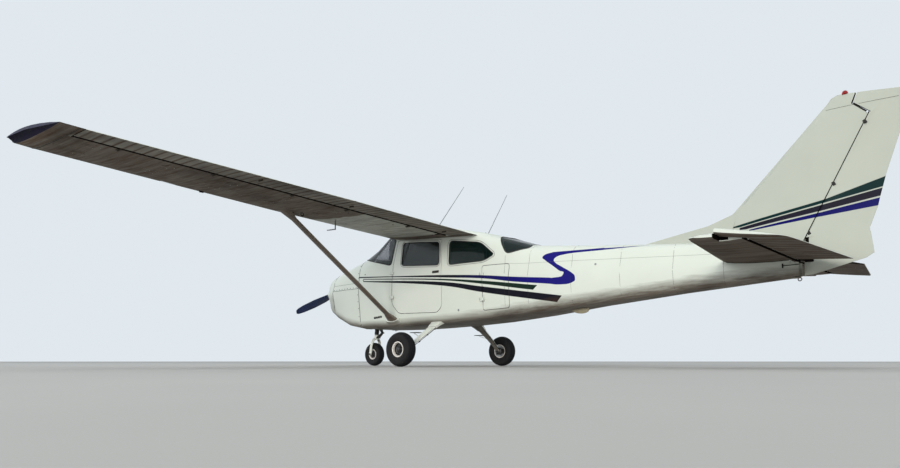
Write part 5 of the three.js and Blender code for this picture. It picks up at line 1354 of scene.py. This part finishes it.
# %% [markdown]
# Each front seat has its pair of rudder pedals, and runs on two aluminium rails with locking studs on the
# floor.

# %% Pedals and seat rails
RAIL_Z, FLOOR_SLANT = 0.6555, 1.4
mesh = bmesh.new()
for name, s in BOTH:
    for y in (0.11, 0.25, 0.39):
        block(mesh, (2.650, s * y, 0.800 if y == 0.25 else 0.790), (0.012, 0.070, 0.095), tilt(-24), 0.003)
finish_piece(mesh, "rudder_pedals", bright)
mesh = bmesh.new()
for name, s in BOTH:
    for y in (0.118, 0.370):
        block(mesh, (1.90, s * y, RAIL_Z), (0.90, 0.026, 0.010), tilt(FLOOR_SLANT), 0.002)
        for k in range(12):
            spot = Vector((1.50 + 0.07 * k, s * y, RAIL_Z + 0.0245 * (0.40 - 0.07 * k)))
            boss(mesh, spot, Vector((0, 0, 1)), 0, 0.0065, 0.006, segments=10)
finish_piece(mesh, "seat_rails", bright)
print("rail studs", 4 * 12)

# %% [markdown]
# Lap belts of flat nylon webbing lie over the front pads, each with its steel buckle. A strip along a line of
# points, made thick, is enough for webbing.

# %% Seat belts
BELT_WIDTH = 0.045
BELT = [(1.70, 0.222, 0.930), (1.712, 0.218, 1.000), (1.72, 0.190, 1.036), (1.735, 0.120, 1.044),
        (1.74, 0.050, 1.046), (1.74, -0.060, 1.046), (1.735, -0.130, 1.044), (1.72, -0.190, 1.036),
        (1.712, -0.218, 1.000), (1.70, -0.222, 0.930)]
for name, s in BOTH:
    points = [Vector((x - BELT_WIDTH / 2, s * SEAT_Y + y, z)) for x, y, z in BELT]
    mesh = bmesh.new()
    band(mesh, points, lambda p: (BELT_WIDTH, 0, 0), 0.0022)
    belt = finish_piece(mesh, f"lap_belt_{name}", webbing, angle=60)
    length = sum((b - a).length for a, b in zip(points, points[1:]))
    mesh = bmesh.new()
    block(mesh, (1.740, s * SEAT_Y, 1.052), (0.062, 0.070, 0.014), None, 0.004)
    block(mesh, (1.740, s * SEAT_Y, 1.060), (0.048, 0.034, 0.006), None, 0.002)
    buckle = finish_piece(mesh, f"belt_buckle_{name}", chrome)
print("belt length", round(length, 3))

# %% [markdown]
# Every frame piece that wasn't modelled anew now gets its own skin. The walls of the body are hollow: their
# inner faces are cabin lining, the floor is carpet, and the inside of the cowling is bare metal with an oily
# film. Faces inside the gaps of flaps and rudders get a dark matt colour, a painted shade.

# %% Skins of the other pieces
LOOKS = {}
for material, angle, *nodes in (
        (fuselage_paint, 32, "cabin_body", "tail_cone", "baggage_door"), (fuselage_paint, 45, "cowl_nose"),
        (fuselage_paint, 40, "cowl_upper", "cowl_lower"), (fuselage_paint, 50, "spinner"),
        (door_paint, 32, "door_*"), (wing_paint, 30, "wing_*"), (tip_paint, 30, "wing_tip_*"),
        (flap_paint, 30, "flap_*", "aileron_*"), (shaded_strut_paint, 50, "strut_*"), (tail_paint, 30, "fin", "rudder"),
        (tailplane_paint, 30, "stabilizer"), (elevator_paint, 30, "elevator", "trim_tab"),
        (acrylic, 40, "windscreen", "rear_window", "door_window_*", "side_window_*"), (lens_red, 60, "beacon"),
        (blade, 50, "propeller"), (casting, 30, "engine_block"), (steel, 40, "exhaust_pipe", "nose_leg"),
        (steel, 30, "brake_*"), (bright, 50, "pitot_tube"), (bright, 60, "antenna_front", "antenna_rear"),
        (wrinkle, 30, "instrument_panel"), (frame_grey, 30, "rear_seat_frame", "seat_frame_*"),
        (plastic, 40, "yoke_*")):
    for node in nodes:
        LOOKS.update({node.replace("*", name): (material, angle) for name, s in BOTH})


def paint_faces(made, material, hidden):
    made.data.materials.append(material)
    for face in made.data.polygons:
        if hidden(face.center, face.normal):
            face.material_index = len(made.data.materials) - 1


def inward(centre, normal):
    outward = Vector((0, centre.y, centre.z - 1.2))
    return normal.dot(outward) < -0.12 * outward.length


def moving_gap(centre, normal):
    return normal.z < 0.6 and (abs(normal.y) > 0.8 or (normal.x > 0.2 and abs(centre.y) < 5.3)
                               ) and not (centre.x < -2.6 and abs(centre.y) > 1.58)


def fixed_gap(centre, normal):
    return normal.z < 0.6 and normal.x < -0.25


def rudder_gap(centre, normal):
    return normal.x > 0.35 or (1.1 < centre.z < 2.42 and centre.x > hinge_x(centre.z) + 0.010)


GAPS = {"rudder": rudder_gap, "fin": lambda c, n: n.x < -0.5, "stabilizer": fixed_gap, "elevator": moving_gap,
        "trim_tab": moving_gap}
for name, s in BOTH:
    GAPS |= {f"wing_{name}": fixed_gap, f"wing_tip_{name}": fixed_gap, f"flap_{name}": moving_gap,
             f"aileron_{name}": moving_gap}
for node in sorted(set(frame["nodes"]) - REBUILT):
    material, angle = LOOKS[node]
    mesh = merged_copy(node)
    bmesh.ops.dissolve_limit(mesh, angle_limit=math.radians(0.6), verts=mesh.verts, edges=mesh.edges)
    made = finish_piece(mesh, f"{node}_skin", material, body_of(node), angle)
    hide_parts(node)
    if node in ("cabin_body", "tail_cone"):
        paint_faces(made, lining, inward)
        paint_faces(made, carpet, lambda c, n: inward(c, n) and c.z < 0.85)
    elif node.startswith(("door_", "baggage")) and "window" not in node:
        paint_faces(made, lining, inward)
    elif node.startswith("cowl"):
        paint_faces(made, sooty, inward)
    # faces inside the gaps get the dark matt colour of painted shade
    if node in GAPS:
        paint_faces(made, gap_shade, GAPS[node])
    if node.startswith("wing_tip"):
        paint_faces(made, navy_trim, lambda c, n: abs(c.y) > 5.436)
print("dressed", len(frame["nodes"]) - len(REBUILT))

# %% [markdown]
